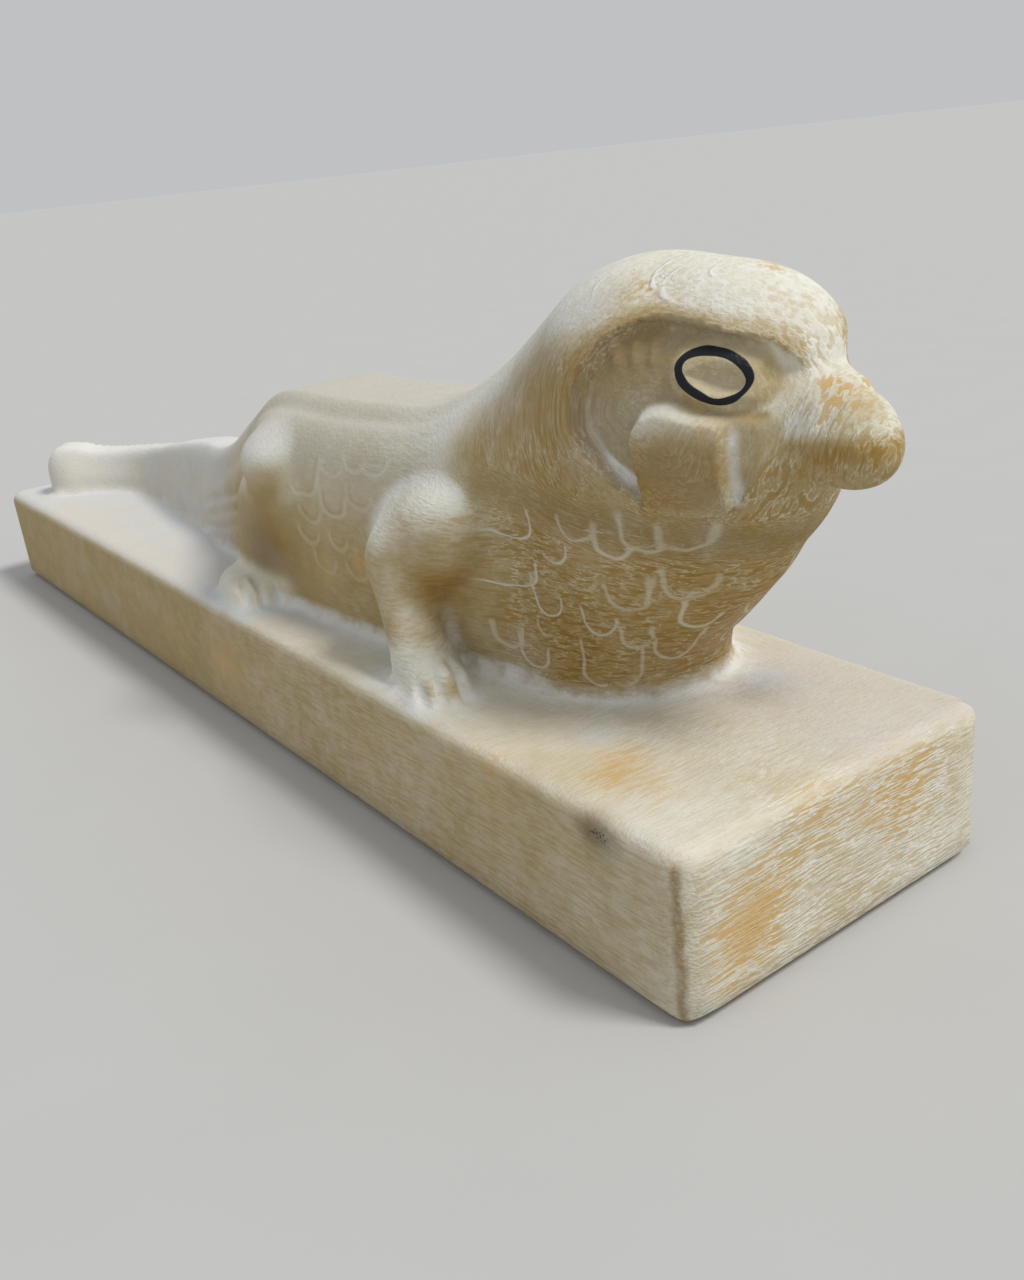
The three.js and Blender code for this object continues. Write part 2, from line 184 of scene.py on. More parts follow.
class Lumps:
    """Smooth seeded unevenness, from -1 to 1, with a given size of lump."""

    CELLS = 64              # the pattern repeats after this many lumps

    def __init__(self, size, seed):
        self.size = size
        self.cells = np.random.default_rng(seed).uniform(-1, 1, (self.CELLS,) * 3).astype(np.float32)

    def __call__(self, *place):
        scaled = [v / self.size + 31.37 for v in place]
        base = [np.floor(v).astype(int) for v in scaled]
        rest = [rise(0, 1, v - b) for v, b in zip(scaled, base)]
        total = 0
        for corner in CORNERS:
            weight = 1
            for ahead, t in zip(corner, rest):
                weight = weight * (t if ahead else 1 - t)
            total = total + weight * self.cells[tuple((b + c) % self.CELLS for b, c in zip(base, corner))]
        return total


# The spine runs straight along x to the tail's bend, then turns towards the near side

BEND_START, BEND_RADIUS, BEND_SIDE, BEND_ANGLE = -99.0, 34.0, 3.0, 1.3
TAIL_TIP = BEND_START - BEND_RADIUS * BEND_ANGLE
CHEST_END = 84.0
TAIL_CREASES = (12.4, 15.8, 19.4)     # heights that they would reach at the figure's middle
CREASE_SLOPE, CREASE_DEPTH = 0.25, 0.5
WIDEST_UNDER_BACK = 26      # the body is widest this far under its back, and the tail at a fixed height
TAIL_WIDEST = -2
STRIP_RISE, STRIP_GROOVE = 0.8, 0.5

spine_side = smooth_line([
    (-144, 3), (-96, 3), (-60, 1), (-20, 0), (30, 0), (55, 2), (75, 5), (90, 7.5), (110, 7.5), (150, 7.5)])
back_height = smooth_line([
    (-150, 12.5), (-139, 13.4), (-133, 13), (-127, 11.4), (-120, 10.9), (-112, 11.4), (-103, 12.3),
    (-96, 13.3), (-75, 17.3), (-53, 20.7), (-40, 21.4), (-28, 24.6), (-14, 31.1), (0, 36.9), (10, 40.1),
    (20, 41), (30, 40.9), (45, 41), (65, 41.5), (76, 43), (90, 43.4)])
body_half_width = smooth_line([
    (-150, 7), (-130, 7.5), (-96, 7.5), (-60, 8.3), (-40, 10), (-28, 11.6), (-14, 12.8), (-4, 15), (6, 18),
    (20, 19.5), (45, 19.5), (65, 20), (90, 19)])
strip_half_width = smooth_line([
    (-150, 3), (-96, 3.5), (-50, 4.5), (-20, 7), (0, 9), (20, 9.5), (60, 9.5), (90, 9)])


def spine_coordinates(p):
    dx, dy = BEND_START - p[0], p[1] - (BEND_SIDE - BEND_RADIUS)
    bent = p[0] < BEND_START
    along = np.where(bent, BEND_START - BEND_RADIUS * np.arctan2(dx, dy), p[0])
    side = np.where(bent, np.hypot(dx, dy) - BEND_RADIUS, p[1] - spine_side(p[0]))
    return along, side


def tail_creases(along, height):
    """Long grooves on the tail's root, climbing towards the thighs."""
    climb = height - CREASE_SLOPE * along
    grooves = sum(bump((climb - crease) / 1.1) for crease in TAIL_CREASES)
    return CREASE_DEPTH * grooves * rise(-54, -42, along) * fall(-14, -4, along)


def body_field(p):
    """Body and tail: a squarish oval section along the spine, cut off flat along the back."""
    along, side = spine_coordinates(p)
    top, half_width = back_height(along), body_half_width(along)
    tail_share = np.clip((-20 - along) / 30, 0, 1)
    widest = towards(np.clip(top - WIDEST_UNDER_BACK, -4, 14), TAIL_WIDEST, tail_share)
    power = 2.6 - 0.3 * tail_share
    upright = np.where(p[2] > widest, top + 1.5 - widest, 30)
    across, upward = np.abs(side) / half_width, np.abs(p[2] - widest) / upright
    near = (across ** power + upward ** power) ** (1 / power)
    slope = np.hypot(across / half_width, upward / upright) + 1e-6
    section = np.clip(near * (near - 1) / slope, -15, 30)
    from_strip = np.abs(side) - strip_half_width(along)
    groove = STRIP_GROOVE * bump((from_strip - 2.4) / 1.3) * rise(0, 8, p[2] - widest)
    section = section + groove + tail_creases(along, p[2])
    closed = soft_max(section, p[2] - top - STRIP_RISE * bump(from_strip / 1.2), 1.2)
    return soft_max(closed, np.maximum(TAIL_TIP - along, along - CHEST_END), 8)


# Chest, neck and head. A limb has its start, its end and the radius at each, an ellipsoid its centre, its
# radii and its pitch in degrees.

CHEST_FOOT = ((92.5, 6.4, -10), (92.5, 6.4, 2), 17, 17)
CHEST_FRONT = ((87.5, 6.4, 6), (104, 8, 26), 16.2, 17.9)
THROAT = ((104, 8, 26), (114.7, HEAD_SIDE, 36.5), 17.9, 16.7)
NECK = ((74.5, 6.4, 26.8), (102.5, HEAD_SIDE, 44.9), 18, 19.3)
CHEST_WAIST, BEAK_CREASE, BROW_NOTCH = 1.8, 0.6, 0.8
SKULL = ((113.4, HEAD_SIDE, 45.2), (21.3, 16.8, 17.8))
BROW = ((120.8, HEAD_SIDE, 52.8), (13.2, 11.8, 10), -10)
CERE = ((129.4, HEAD_SIDE, 44.2), (10.2, 7.4, 5.9), 18)
BEAK = ((135.4, HEAD_SIDE, 42.7), (9.3, 6.5, 6.6), -25)


def chest_field(p):
    waist = CHEST_WAIST * bump((p[2] - 14.5) / 4) * rise(96, 114, p[0])
    field = soft_min(limb(p, *CHEST_FOOT), limb(p, *CHEST_FRONT) + waist, 4)
    field = soft_min(field, limb(p, *THROAT), 4)
    return soft_min(field, limb(p, *NECK), 10)


def head_field(p):
    crown = soft_min(ellipsoid(p, *SKULL), ellipsoid(p, *BROW), 3)
    crease = BEAK_CREASE * bump((p[0] - 138.6 + 0.25 * (48 - p[2])) / 0.9) * rise(41, 45.5, p[2])
    bill = soft_min(ellipsoid(p, *CERE), ellipsoid(p, *BEAK), 1.6) + crease
    return soft_min(crown, bill, 2) + BROW_NOTCH * spot((p[0], p[2]), (131, 50.2), 2.6)


# Legs. Here y counts outwards from the middle line, and the two sides differ a little.

NEAR_SIDE = dict(sign=-1, shift=0, shoulder_out=13.9, elbow_out=17.6, wrist_out=21.2, knee_out=13.1,
                 knee_blend=3)
FAR_SIDE = dict(sign=1, shift=1, shoulder_out=18.9, elbow_out=20, wrist_out=21, knee_out=12.1,
                knee_blend=7)
FOREFOOT = ((72.5, 20.5, 0), (80.4, 23, 0), 5.4, 6)
HINDFOOT = ((2, 19.3, 0), (11.3, 21.4, 0), 7.3, 5)
SHIN_X, SHIN_LEAN, SHIN_OUT = 8.4, 0.38, 12.4
SHIN_HALF_LENGTH, SHIN_HALF_WIDTH, SHIN_TOP = 16.6, 8.9, 25
TOE_GAPS = (-1.5, 2.3, 5)
TOE_SPREAD, TOE_GROOVE = 0.25, 1.2


def legs_field(p, sign, shift, shoulder_out, elbow_out, wrist_out, knee_out, knee_blend):
    q = (p[0], sign * p[1] - shift, p[2])
    forearm = limb(q, (63.6, elbow_out, 17), (72.3, wrist_out, 4.5), 5.5, 4.9)
    foreleg = soft_min(shoulder_field(q, shoulder_out), forearm, 6)
    foreleg = soft_min(foreleg, foot_field(q, *FOREFOOT), 3)
    knee = ellipsoid(q, (17.6, knee_out, 28), (10.2, 9.8, 8))
    hindleg = soft_min(shin_field(q), knee, knee_blend)
    return np.minimum(foreleg, soft_min(hindleg, foot_field(q, *HINDFOOT), 2))


def shoulder_field(q, out):
    return ellipsoid(q, (68.3, out, 21), (15.3, 7.3, 9.4), 24)


def shin_field(q):
    """The folded hind leg: an upright block, rounded in plan."""
    a = np.abs(q[0] - SHIN_X - SHIN_LEAN * q[2]) / SHIN_HALF_LENGTH
    b = np.abs(q[1] - SHIN_OUT) / SHIN_HALF_WIDTH
    near = (a ** 3 + b ** 3) ** (1 / 3)
    slope = np.hypot(a ** 2 / SHIN_HALF_LENGTH, b ** 2 / SHIN_HALF_WIDTH) / np.maximum(near, 0.05) ** 2
    return soft_max(np.clip((near - 1) / np.maximum(slope, 0.02), -15, 30), q[2] - SHIN_TOP, 6)


def foot_field(q, heel, ball, radius, height):
    """A foot, flattened from above, with grooves between its toes."""
    flat = soft_max(limb(q, heel, ball, radius, radius), q[2] - height, 3)
    along = q[0] - ball[0] - 3
    across = q[1] - ball[1] - TOE_SPREAD * along
    grooves = sum(bump((across - gap) / 0.8) for gap in TOE_GAPS)
    return flat + TOE_GROOVE * grooves * rise(-5.5, -1, along)


# The sunken face. Its floor lies inside its outline, at the foot of a slope that is steep above and wide
# behind. A cheek panel and the eye's mound stand up in it. All outlines are in the side view.

FACE_OUTLINE = smooth_outline([
    (134.4, 49.6), (133.6, 51.2), (132.5, 53), (130.9, 54.6), (128.6, 55.5), (125.2, 56.5), (120.2, 57.5),
    (115.5, 57.8), (112.4, 57.1), (109.2, 55.5), (107, 53), (105.2, 50), (104.7, 46), (105.1, 43.1),
    (106.7, 40.9), (109.5, 38.6), (112.4, 36.8), (115.6, 35.2), (120, 33), (126, 33), (128.5, 35.2),
    (130.8, 38.8), (132.6, 42.6), (133.8, 46.4)])
FLOOR_OUTLINE = smooth_outline([
    (131.6, 50), (131.2, 51.8), (130, 53.4), (128, 54.3), (125, 55.3), (120.2, 56.4), (115.5, 56.5),
    (112.4, 55.4), (110.8, 53.4), (108.8, 50.2), (108, 47.3), (108.3, 44.7), (110.2, 41.4), (113.2, 38.2),
    (116, 36.2), (121, 34), (126, 34), (128.1, 36), (129, 38.8), (129.8, 42.4), (131, 46.4)])
CHEEK_OUTLINE = smooth_outline([
    (116.8, 35.7), (116.3, 39.9), (115.9, 43.6), (117.1, 46.5), (120.1, 47.7), (123.3, 47), (127.4, 45.5),
    (128, 44.4), (127.8, 41), (127.6, 37.7), (127.8, 34.6), (128.6, 30), (123, 26), (116, 26), (116.6, 31)])
MOUND_OUTLINE = smooth_outline([
    (119.2, 52.7), (119.7, 50.6), (121.4, 48.6), (123.8, 47.1), (126.6, 46.6), (130, 46.6), (131.6, 48.4),
    (131.4, 50.8), (130, 53.2), (127.2, 54.8), (123.8, 55.1), (120.6, 54.6)])
DISH_OUTLINE = smooth_outline([
    (122.7, 51.4), (124.6, 52.1), (126.4, 52.3), (128, 51.8), (129, 50.2), (128.4, 48.7), (126.8, 48.3),
    (125, 49), (123.4, 50.3)])
RING_OUTSIDE = smooth_outline([
    (121.1, 52.3), (121.4, 53.7), (122.9, 54.5), (125, 54.4), (127.5, 53.5), (128.9, 52.2), (129.65, 50.4),
    (129.35, 49.1), (128.4, 47.8), (126.9, 47.3), (125, 47.7), (123.4, 48.8), (121.9, 50.1)])
RING_INSIDE = smooth_outline([
    (122.2, 51.8), (122.4, 52.9), (123.8, 53.4), (125.8, 53.3), (127.5, 52.6), (128.5, 51.3), (128.75, 49.8),
    (128, 48.7), (126.5, 48.35), (124.9, 49.1), (123.2, 50.4)])
FACE_DEPTH = 2.0
EDGE_STEP = 0.3             # share of the depth that falls at the floor's own edge
MOUND_RISE = 1.5
DISH_DEPTH = 1.25
FAR_EYE_BACK = 0.9          # the far eye lies this much further back
LID_LINE = ((122.4, 47.9), (124.6, 46.8), (126.8, 46.2), (129.2, 45.8), (130.8, 45.7))
MOUTH_LINE = ((133.2, 41.9), (134.2, 41.5), (135.2, 41), (136.9, 40.1), (138.6, 38.8), (139.6, 36.9))
PLEATS = (111, 113.7, 116.4)
LID_DEPTH, MOUTH_DEPTH, PLEAT_RISE = 0.25, 0.28, 0.32


def on_head_side(y):
    """0 along the head's middle line, where the carving stops, and 1 on its sides."""
    return rise(2.2, 4.4, np.abs(y - HEAD_SIDE))


def face_shape(x, z):
    """The share of the face's slope walked down, 1 on the floor, and the floor's signed distance."""
    outer, floor = outline_distance(FACE_OUTLINE, x, z), outline_distance(FLOOR_OUTLINE, x, z)
    down = np.clip(-outer, 0, None) / (np.clip(-outer, 0, None) + np.clip(floor, 0, None) + 1e-6)
    return np.where(outer > 0, 0, down), floor


def face_floor(x, z):
    """The depth of slope and floor, shallower behind, towards the beak and under the eye."""
    down, floor = face_shape(x, z)
    walked = towards(down * (2 - down), fall(-0.3, 0.3, floor), EDGE_STEP * fall(123, 127.5, x))
    depth = FACE_DEPTH * (1 - 0.25 * fall(109, 116, x)) * walked
    pleats = sum(bump((x - pleat - 0.25 * (54 - z)) / 0.75) for pleat in PLEATS)
    depth = depth - PLEAT_RISE * pleats * rise(51, 53, z) * fall(54.5, 56.5, z)
    depth = depth * (1 - 0.9 * rise(129.5, 133.5, x) * fall(49, 53.5, z)) * (1 - 0.5 * rise(128.3, 131.5, x))
    return depth * (1 - 0.5 * rise(124, 127, x) * fall(45, 47.5, z))


def face_carving(p):
    """How deep the face is sunk at each point."""
    x, z = p[0], p[2]
    softness = 0.4 + 0.8 * rise(43, 46.5, z)
    sunk = face_floor(x, z) * rise(-1.4 * softness, 0.6 * softness, outline_distance(CHEEK_OUTLINE, x, z))
    mound = fall(-2.1, 0.2, outline_distance(MOUND_OUTLINE, x, z))
    sunk = sunk - np.minimum(MOUND_RISE, 0.8 * sunk) * mound
    eye_x = x + FAR_EYE_BACK * (p[1] > HEAD_SIDE)
    sunk = sunk + DISH_DEPTH * fall(-1.3, 0.4, outline_distance(DISH_OUTLINE, eye_x, z))
    lid = LID_DEPTH * bump(path_distance(LID_LINE, x, z) / 0.7)
    mouth = MOUTH_DEPTH * bump(path_distance(MOUTH_LINE, x, z) / 0.5)
    return on_head_side(p[1]) * rise(28, 33, z) * (sunk + lid + mouth)


# The whole casting

def figure_field(p):
    field = soft_min(body_field(p), chest_field(p), 8)
    field = soft_min(field, head_field(p), 6)
    for side in (NEAR_SIDE, FAR_SIDE):
        field = soft_min(field, legs_field(p, **side), 2.5)
    return field


def plinth_field(p):
    x, y, z = p[0] + FIGURE_MIDDLE_X, p[1], p[2]
    dip = PLINTH_DIP * rise(50, 145, x) * rise(2, 31, y)
    wall = rounded_corner(np.abs(x) - (PLINTH_LENGTH / 2 - PLINTH_CORNER_RADIUS),
                          np.abs(y) - (PLINTH_WIDTH / 2 - PLINTH_CORNER_RADIUS), PLINTH_CORNER_RADIUS)
    top = rounded_corner(wall + PLINTH_EDGE_RADIUS, z + dip + PLINTH_EDGE_RADIUS, PLINTH_EDGE_RADIUS)
    return soft_max(top, -PLINTH_HEIGHT - z, PLINTH_FOOT_RADIUS)


def casting_field(p):
    figure = figure_field(p)
    near_face = (p[0] > 100) & (p[2] > 28) & (np.abs(figure) < 6)
    figure[near_face] += face_carving(tuple(v[near_face] for v in p))
    return soft_min(figure, plinth_field(p), 2.5)


# The skin: quads round the field's zero surface, one vertex for each box of the grid that it crosses

EDGES = [(a, b) for a in range(8) for b in range(a + 1, 8) if np.abs(CORNERS[a] - CORNERS[b]).sum() == 1]
GRID_MARGIN = 1.5           # how far the grid reaches past the plinth's sides
BEAK_ROOM, GRID_TOP = 4, 68
SLOPE_STEP = 0.05


def wrap(values, lines):
    inside = values < 0
    size = np.array(values.shape)
    count = sum(inside[i:size[0] - 1 + i, j:size[1] - 1 + j, k:size[2] - 1 + k].astype(np.int8)
                for i, j, k in CORNERS)
    crossed = (count > 0) & (count < 8)
    box = np.argwhere(crossed)
    index = np.full(crossed.shape, -1)
    index[crossed] = np.arange(len(box))
    corner = np.stack([values[tuple((box + c).T)] for c in CORNERS], 1)
    total, crossings = np.zeros((len(box), 3)), np.zeros(len(box))
    for a, b in EDGES:
        crosses = (corner[:, a] < 0) != (corner[:, b] < 0)
        step = np.where(crosses, corner[:, a] - corner[:, b], 1)
        t = corner[:, a] / step
        total += np.where(crosses[:, None], CORNERS[a] + t[:, None] * (CORNERS[b] - CORNERS[a]), 0)
        crossings += crosses
    place = box + total / crossings[:, None]
    vertices = np.stack([np.interp(place[:, i], np.arange(size[i]), lines[i]) for i in range(3)], 1)
    return vertices, np.concatenate([crossing_quads(inside, index, axis) for axis in range(3)])


def crossing_quads(inside, index, axis):
    """A quad for each of the grid's lines along an axis that crosses the surface, facing outwards."""
    here, there = [slice(1, -1)] * 3, [slice(1, -1)] * 3
    here[axis], there[axis] = slice(0, -1), slice(1, None)
    change = inside[tuple(here)] != inside[tuple(there)]
    first = inside[tuple(here)][change]
    ring = []
    for m, n in ((0, 0), (1, 0), (1, 1), (0, 1)):
        cell = np.argwhere(change)
        cell[:, (axis + 1) % 3] += m
        cell[:, (axis + 2) % 3] += n
        ring.append(index[tuple(cell.T)])
    ring = np.stack(ring, 1)
    return np.where(first[:, None], ring, ring[:, ::-1])


def relax(vertices, quads):
    """Moves each vertex to the middle of its neighbours."""
    sides = np.concatenate([quads[:, [i, (i + 1) % 4]] for i in range(4)])
    edges = np.unique(np.sort(sides, 1), axis=0)
    total, count = np.zeros_like(vertices), np.zeros(len(vertices))
    for a, b in ((0, 1), (1, 0)):
        np.add.at(total, edges[:, a], vertices[edges[:, b]])
        np.add.at(count, edges[:, a], 1)
    return total / count[:, None]


def side_keys(quads):
    """One number for each side of each quad, the same from both sides."""
    ends = np.roll(quads, -1, 1).astype(np.int64)
    return np.minimum(quads, ends) << 32 | np.maximum(quads, ends)


def split(vertices, quads, chosen, halves):
    """Splits the chosen quads in four. halves gives the middle vertex of each side split so far."""
    keys, middles = halves
    picked = quads[chosen]
    sides, back = np.unique(side_keys(picked), return_inverse=True)
    back = back.reshape(picked.shape)
    known = np.isin(sides, keys)
    index = np.empty(len(sides), np.int64)
    if known.any():
        index[known] = middles[np.searchsorted(keys, sides[known])]
    fresh = sides[~known]
    index[~known] = len(vertices) + np.arange(len(fresh))
    ends = np.stack([fresh >> 32, fresh & 0xffffffff], 1)
    centre = len(vertices) + len(fresh) + np.arange(len(picked))
    middle = index[back]
    small = [np.stack([picked[:, i], middle[:, i], centre, middle[:, (i + 3) % 4]], 1) for i in range(4)]
    keys, middles = np.concatenate([keys, fresh]), np.concatenate([middles, index[~known]])
    order = np.argsort(keys)
    vertices = np.concatenate([vertices, vertices[ends].mean(1), vertices[picked].mean(1)])
    return vertices, np.concatenate([quads[~chosen]] + small), (keys[order], middles[order])


def closed_rings(quads, halves):
    """The corners of each face in turn. A quad beside finer ones takes in the middles of its split sides."""
    keys, middles = halves
    sides = side_keys(quads)
    place = np.minimum(np.searchsorted(keys, sides), len(keys) - 1)
    middle = np.where(keys[place] == sides, middles[place], -1)
    ring = np.stack([quads, middle], 2).reshape(len(quads), 8)
    return np.split(ring[ring >= 0], (ring >= 0).sum(1).cumsum()[:-1])


def slopes(vertices):
    """The casting field's gradient at each vertex."""
    g = np.zeros_like(vertices)
    for axis in range(3):
        ahead, behind = vertices.copy(), vertices.copy()
        ahead[:, axis] += SLOPE_STEP
        behind[:, axis] -= SLOPE_STEP
        g[:, axis] = (casting_field(tuple(ahead.T)) - casting_field(tuple(behind.T))) / (2 * SLOPE_STEP)
    return g


def settle(vertices, reach):
    """Moves vertices onto the casting's surface, none by more than reach."""
    g = slopes(vertices)
    steep = np.maximum((g * g).sum(1), 0.05)
    move = -(casting_field(tuple(vertices.T)) / steep)[:, None] * g
    length = np.linalg.norm(move, axis=1)[:, None]
    return vertices + move * np.minimum(1, reach / np.maximum(length, 1e-9))


def grid_lines(start, *stretches):
    """Lines from start on, through stretches that are given by their end and their step."""
    lines = [np.array([start])]
    for end, step in stretches:
        count = max(round((end - lines[-1][-1]) / step), 1)
        lines.append(np.linspace(lines[-1][-1], end, count + 1)[1:])
    return np.concatenate(lines)


def coarse_grid():
    back, front = -PLINTH_LENGTH / 2 - FIGURE_MIDDLE_X, PLINTH_LENGTH / 2 - FIGURE_MIDDLE_X
    side, foot = PLINTH_WIDTH / 2 + GRID_MARGIN, -PLINTH_HEIGHT
    return (grid_lines(back - GRID_MARGIN, (front + BEAK_ROOM, 3)),
            grid_lines(-side, (side, 2.8)),
            grid_lines(foot - 1.2, (foot + 1.2, 0.8), (-5, 5), (-1, 2), (GRID_TOP, 2.7)))


def make_skin():
    """The casting's vertices, its quads, and the middles of the quads' split sides."""
    lines = coarse_grid()
    grid = tuple(v.astype(np.float32) for v in np.meshgrid(*lines, indexing="ij"))
    vertices, quads = wrap(casting_field(grid), lines)
    for _ in range(3):
        vertices = settle(relax(vertices, quads), 1)
    halves = (np.zeros(0, np.int64), np.zeros(0, np.int64))
    for chosen_part in (near_figure_or_edge, on_figure, in_face_or_foot):
        chosen = chosen_part(*vertices[quads].mean(1).T)
        vertices, quads, halves = split(vertices, quads, chosen, halves)
        vertices = settle(vertices, 0.6)
    vertices = settle(vertices, 0.4)
    vertices[:, 2] = np.maximum(vertices[:, 2], -PLINTH_HEIGHT)
    return vertices, quads, halves


def near_figure_or_edge(x, y, z):
    past_side = np.maximum(np.abs(x + FIGURE_MIDDLE_X) - PLINTH_LENGTH / 2, np.abs(y) - PLINTH_WIDTH / 2)
    return (z > -0.8) & (figure_field((x, y, z)) < 5) | (z > -5) & (past_side > -4.5)


def on_figure(x, y, z):
    return (z > -0.5) & (x > -50) & (figure_field((x, y, z)) < 1.4)


def in_face_or_foot(x, y, z):
    near_line = (outline_distance(FACE_OUTLINE, x, z) < 1.6) | (path_distance(MOUTH_LINE, x, z) < 1.6)
    face = (np.abs(y - HEAD_SIDE) > 1.5) & (z > 30) & near_line
    toes = (within(x, 76, 88) | within(x, 9, 19)) & within(np.abs(y), 15, 30) & within(z, -0.2, 6)
    return face | toes


# What the surface is like at each point, kept on the skin for its material. Shares are from 0 to 1.

FAR_AWAY = 5.0              # a distance attribute's value away from what it measures
HOLLOW_REACH = 1.6          # hollow is 1 where the surface closes in within this, and below 0 on ridges


class Surface:
    """The skin's points, which way they face, and the shares of the zones that several values need."""

    def __init__(self, vertices):
        self.place = x, y, z = tuple(vertices.T)
        normals = slopes(vertices)
        normals /= np.linalg.norm(normals, axis=1)[:, None]
        self.ahead, self.up = normals[:, 0], normals[:, 2]
        off_surface = casting_field(tuple((vertices + HOLLOW_REACH * normals).T))
        self.hollow = np.clip(1 - off_surface / HOLLOW_REACH, -1, 1)
        self.off_figure = np.maximum(figure_field(self.place), 0)
        self.slab_top = rise(0.3, 0.9, self.up) * fall(0.4, 2, z)
        self.tail = fall(-36, -12, x) * rise(0.3, 1.5, z)
        self.throat = rise(79, 88, x) * fall(30, 40, z - 0.1 * (x - 95))
        self.throat *= 1 - fall(8, 14, z) * (1 - rise(-16.5, -14, y) * fall(22, 24, y))
        self.nape = rise(70, 84, x) * rise(24, 30, z) * fall(0.3, 0.7, self.up)

        down, self.floor = face_shape(x, z)
        down = down * on_head_side(y)
        self.cheek, self.mound = outline_distance(CHEEK_OUTLINE, x, z), outline_distance(MOUND_OUTLINE, x, z)
        self.beside_head = rise(2.5, 4, np.abs(y - HEAD_SIDE)) * rise(30, 34, z) * rise(101, 105, x)
        self.sunken = self.beside_head * rise(0, 0.1, down)
        self.slope = self.sunken * fall(0.92, 1, down) * fall(112, 120, x)
        # The face's floor, where painted shade under the brow goes.
        self.shaded_face_floor = self.beside_head * rise(0, 0.3, down) * fall(126, 131, x)
        self.on_cheek = self.beside_head * fall(-0.3, 0.3, self.cheek)


def eye_ring(x, y, z):
    """Signed distance to the painted ring round each eye, negative in the paint."""
    distance = np.full(len(x), FAR_AWAY)
    near = within(x, 117, 135) & within(z, 43, 59) & (np.abs(y - HEAD_SIDE) > 3)
    unsteady = Lumps(2.2, 5)
    px = x[near] + 0.12 * unsteady(x[near], y[near], z[near]) + FAR_EYE_BACK * (y[near] > HEAD_SIDE)
    pz = z[near] + 0.12 * unsteady(z[near], x[near], y[near])
    outside, inside = outline_distance(RING_OUTSIDE, px, pz), outline_distance(RING_INSIDE, px, pz)
    distance[near] = np.maximum(outside, -inside)
    return distance


def stroke_coordinates(x, y, z):
    """On the figure: across the brush strokes, and two directions along them, in millimetres."""
    head = rise(27, 36, z + 0.1 * (x - 90)) * rise(68, 84, x)
    chest = rise(76, 84, x) * (1 - head)
    longways = 1 + head - 0.1 * chest
    return np.stack([towards(z, outline_distance(FACE_OUTLINE, x, z), head), x * longways, y * longways], 1)


def stroke_shares(s):
    """The figure's share in the strokes, the share of those that run across the slab, and their strength."""
    x, y, z = s.place
    front_end = rise(95, 112, x - 0.25 * y) * rise(0.3, 0.8, s.up)
    crosswise = np.maximum(rise(0.35, 0.9, s.ahead), front_end)
    figure = 0.15 + 0.85 * rise(0, 80, x - 0.8 * np.maximum(z, 0))
    slab = (0.2 + 0.7 * rise(-40, 60, x)) * (1 - 0.45 * rise(0.1, 0.3, s.up) - 0.15 * rise(0.9, 0.99, s.up))
    corner = rise(0.55, 0.75, np.abs(s.ahead)) * fall(0.8, 0.95, np.abs(s.ahead)) * (z < 0)
    return np.stack([rise(0.2, 1.4, z), crosswise, np.where(z > 0.2, figure, slab) * (1 - 0.7 * corner)], 1)


# U shapes drawn in slip: middle, lowest point, half width, height of the left and right arms, strength.
# On the chest they are laid out round its front and up it, on the flank along and up, on the crown across
# and along.
CHEST_SHAPES = (
    (-30.5, 24.6, 3.6, 1.5, 5.5, 1), (-17.6, 27.3, 2.5, 3.2, 3.2, 0.7), (-13.3, 25.6, 1.8, 5, 2, 0.8),
    (-10.4, 27, 2, 5.5, 1, 0.8), (-7.9, 27.4, 1.7, 4.3, 4.5, 0.7), (-32.3, 16.3, 4.4, 1.5, 5, 1),
    (-22.6, 22.3, 2.8, 1, 4, 0.9), (-26, 12.8, 3.2, 6, 3.5, 0.9), (-18.3, 18.8, 2.6, 0.8, 2, 0.4),
    (-12.5, 16.4, 2.1, 4.5, 6.5, 0.6), (-6.8, 19.3, 2.3, 5.5, 1, 0.6), (-4.7, 12.7, 2.1, 6.3, 2.5, 0.9),
    (-6.3, 20.4, 1.5, 0.8, 3, 0.5), (-33.3, 5.9, 1.7, 4.5, 4, 0.6), (-26.6, 9.2, 1.9, 3, 0.5, 0.5),
    (-16.6, 11.1, 2.5, 4.8, 3.4, 0.8), (-11.4, 8.9, 2.2, 3.8, 1, 0.6), (-6.4, 6.2, 2.7, 7, 6, 0.7),
    (-28.9, 3.4, 2.9, 5.5, 4, 0.7), (-17, 2.4, 2.7, 7.5, 1, 0.6), (-13.6, 2.6, 2.5, 0.5, 7, 0.5),
)
FLANK_SHAPES = (
    (32.8, 24.6, 4.6, 1.5, 7.5, 0.6), (35, 20, 3.3, 3, 3, 0.5), (42.7, 21.8, 4, 4.5, 4.2, 0.7),
    (41.6, 29, 3.3, 2.5, 2, 0.45), (48.4, 30.6, 3.5, 2.3, 2, 0.45), (54.6, 30.4, 3.6, 1.5, 3, 0.5),
    (43.4, 15.8, 2.7, 3.5, 2.5, 0.5), (33.6, 15.6, 3.1, 3.6, 2.8, 0.5), (51, 24.6, 3.7, 4, 3, 0.4),
    (38, 10.6, 3.2, 4, 3, 0.4), (48.6, 11, 3.2, 3.5, 3, 0.4), (55, 18.4, 3.4, 3, 3, 0.35),
)
CROWN_SHAPES = (
    (3.2, 110.7, 5, 3.3, 2, 0.9), (1.3, 113.8, 4.3, 4, 0.6, 0.8), (-2.2, 102.6, 2.4, 1, 1.8, 0.6),
    (5.4, 118.2, 3.8, 2.5, 2, 0.4), (12, 112, 4.4, 2.6, 3, 0.5), (14.4, 104.6, 3.6, 2, 2, 0.4),
)
CHEST_MIDDLE_X, CHEST_ROUND, CHEST_BEHIND = 93, 17, 74      # the chest's middle, its radius and its hind end
FAR_SHAPES_SHIFT = -2       # the far side of the chest mirrors the near one, moved on by this
BOWL, FLARE = 2.4, 0.03     # height of a shape's round part, and how far its arms open above it
LINE_SWAY = 0.4
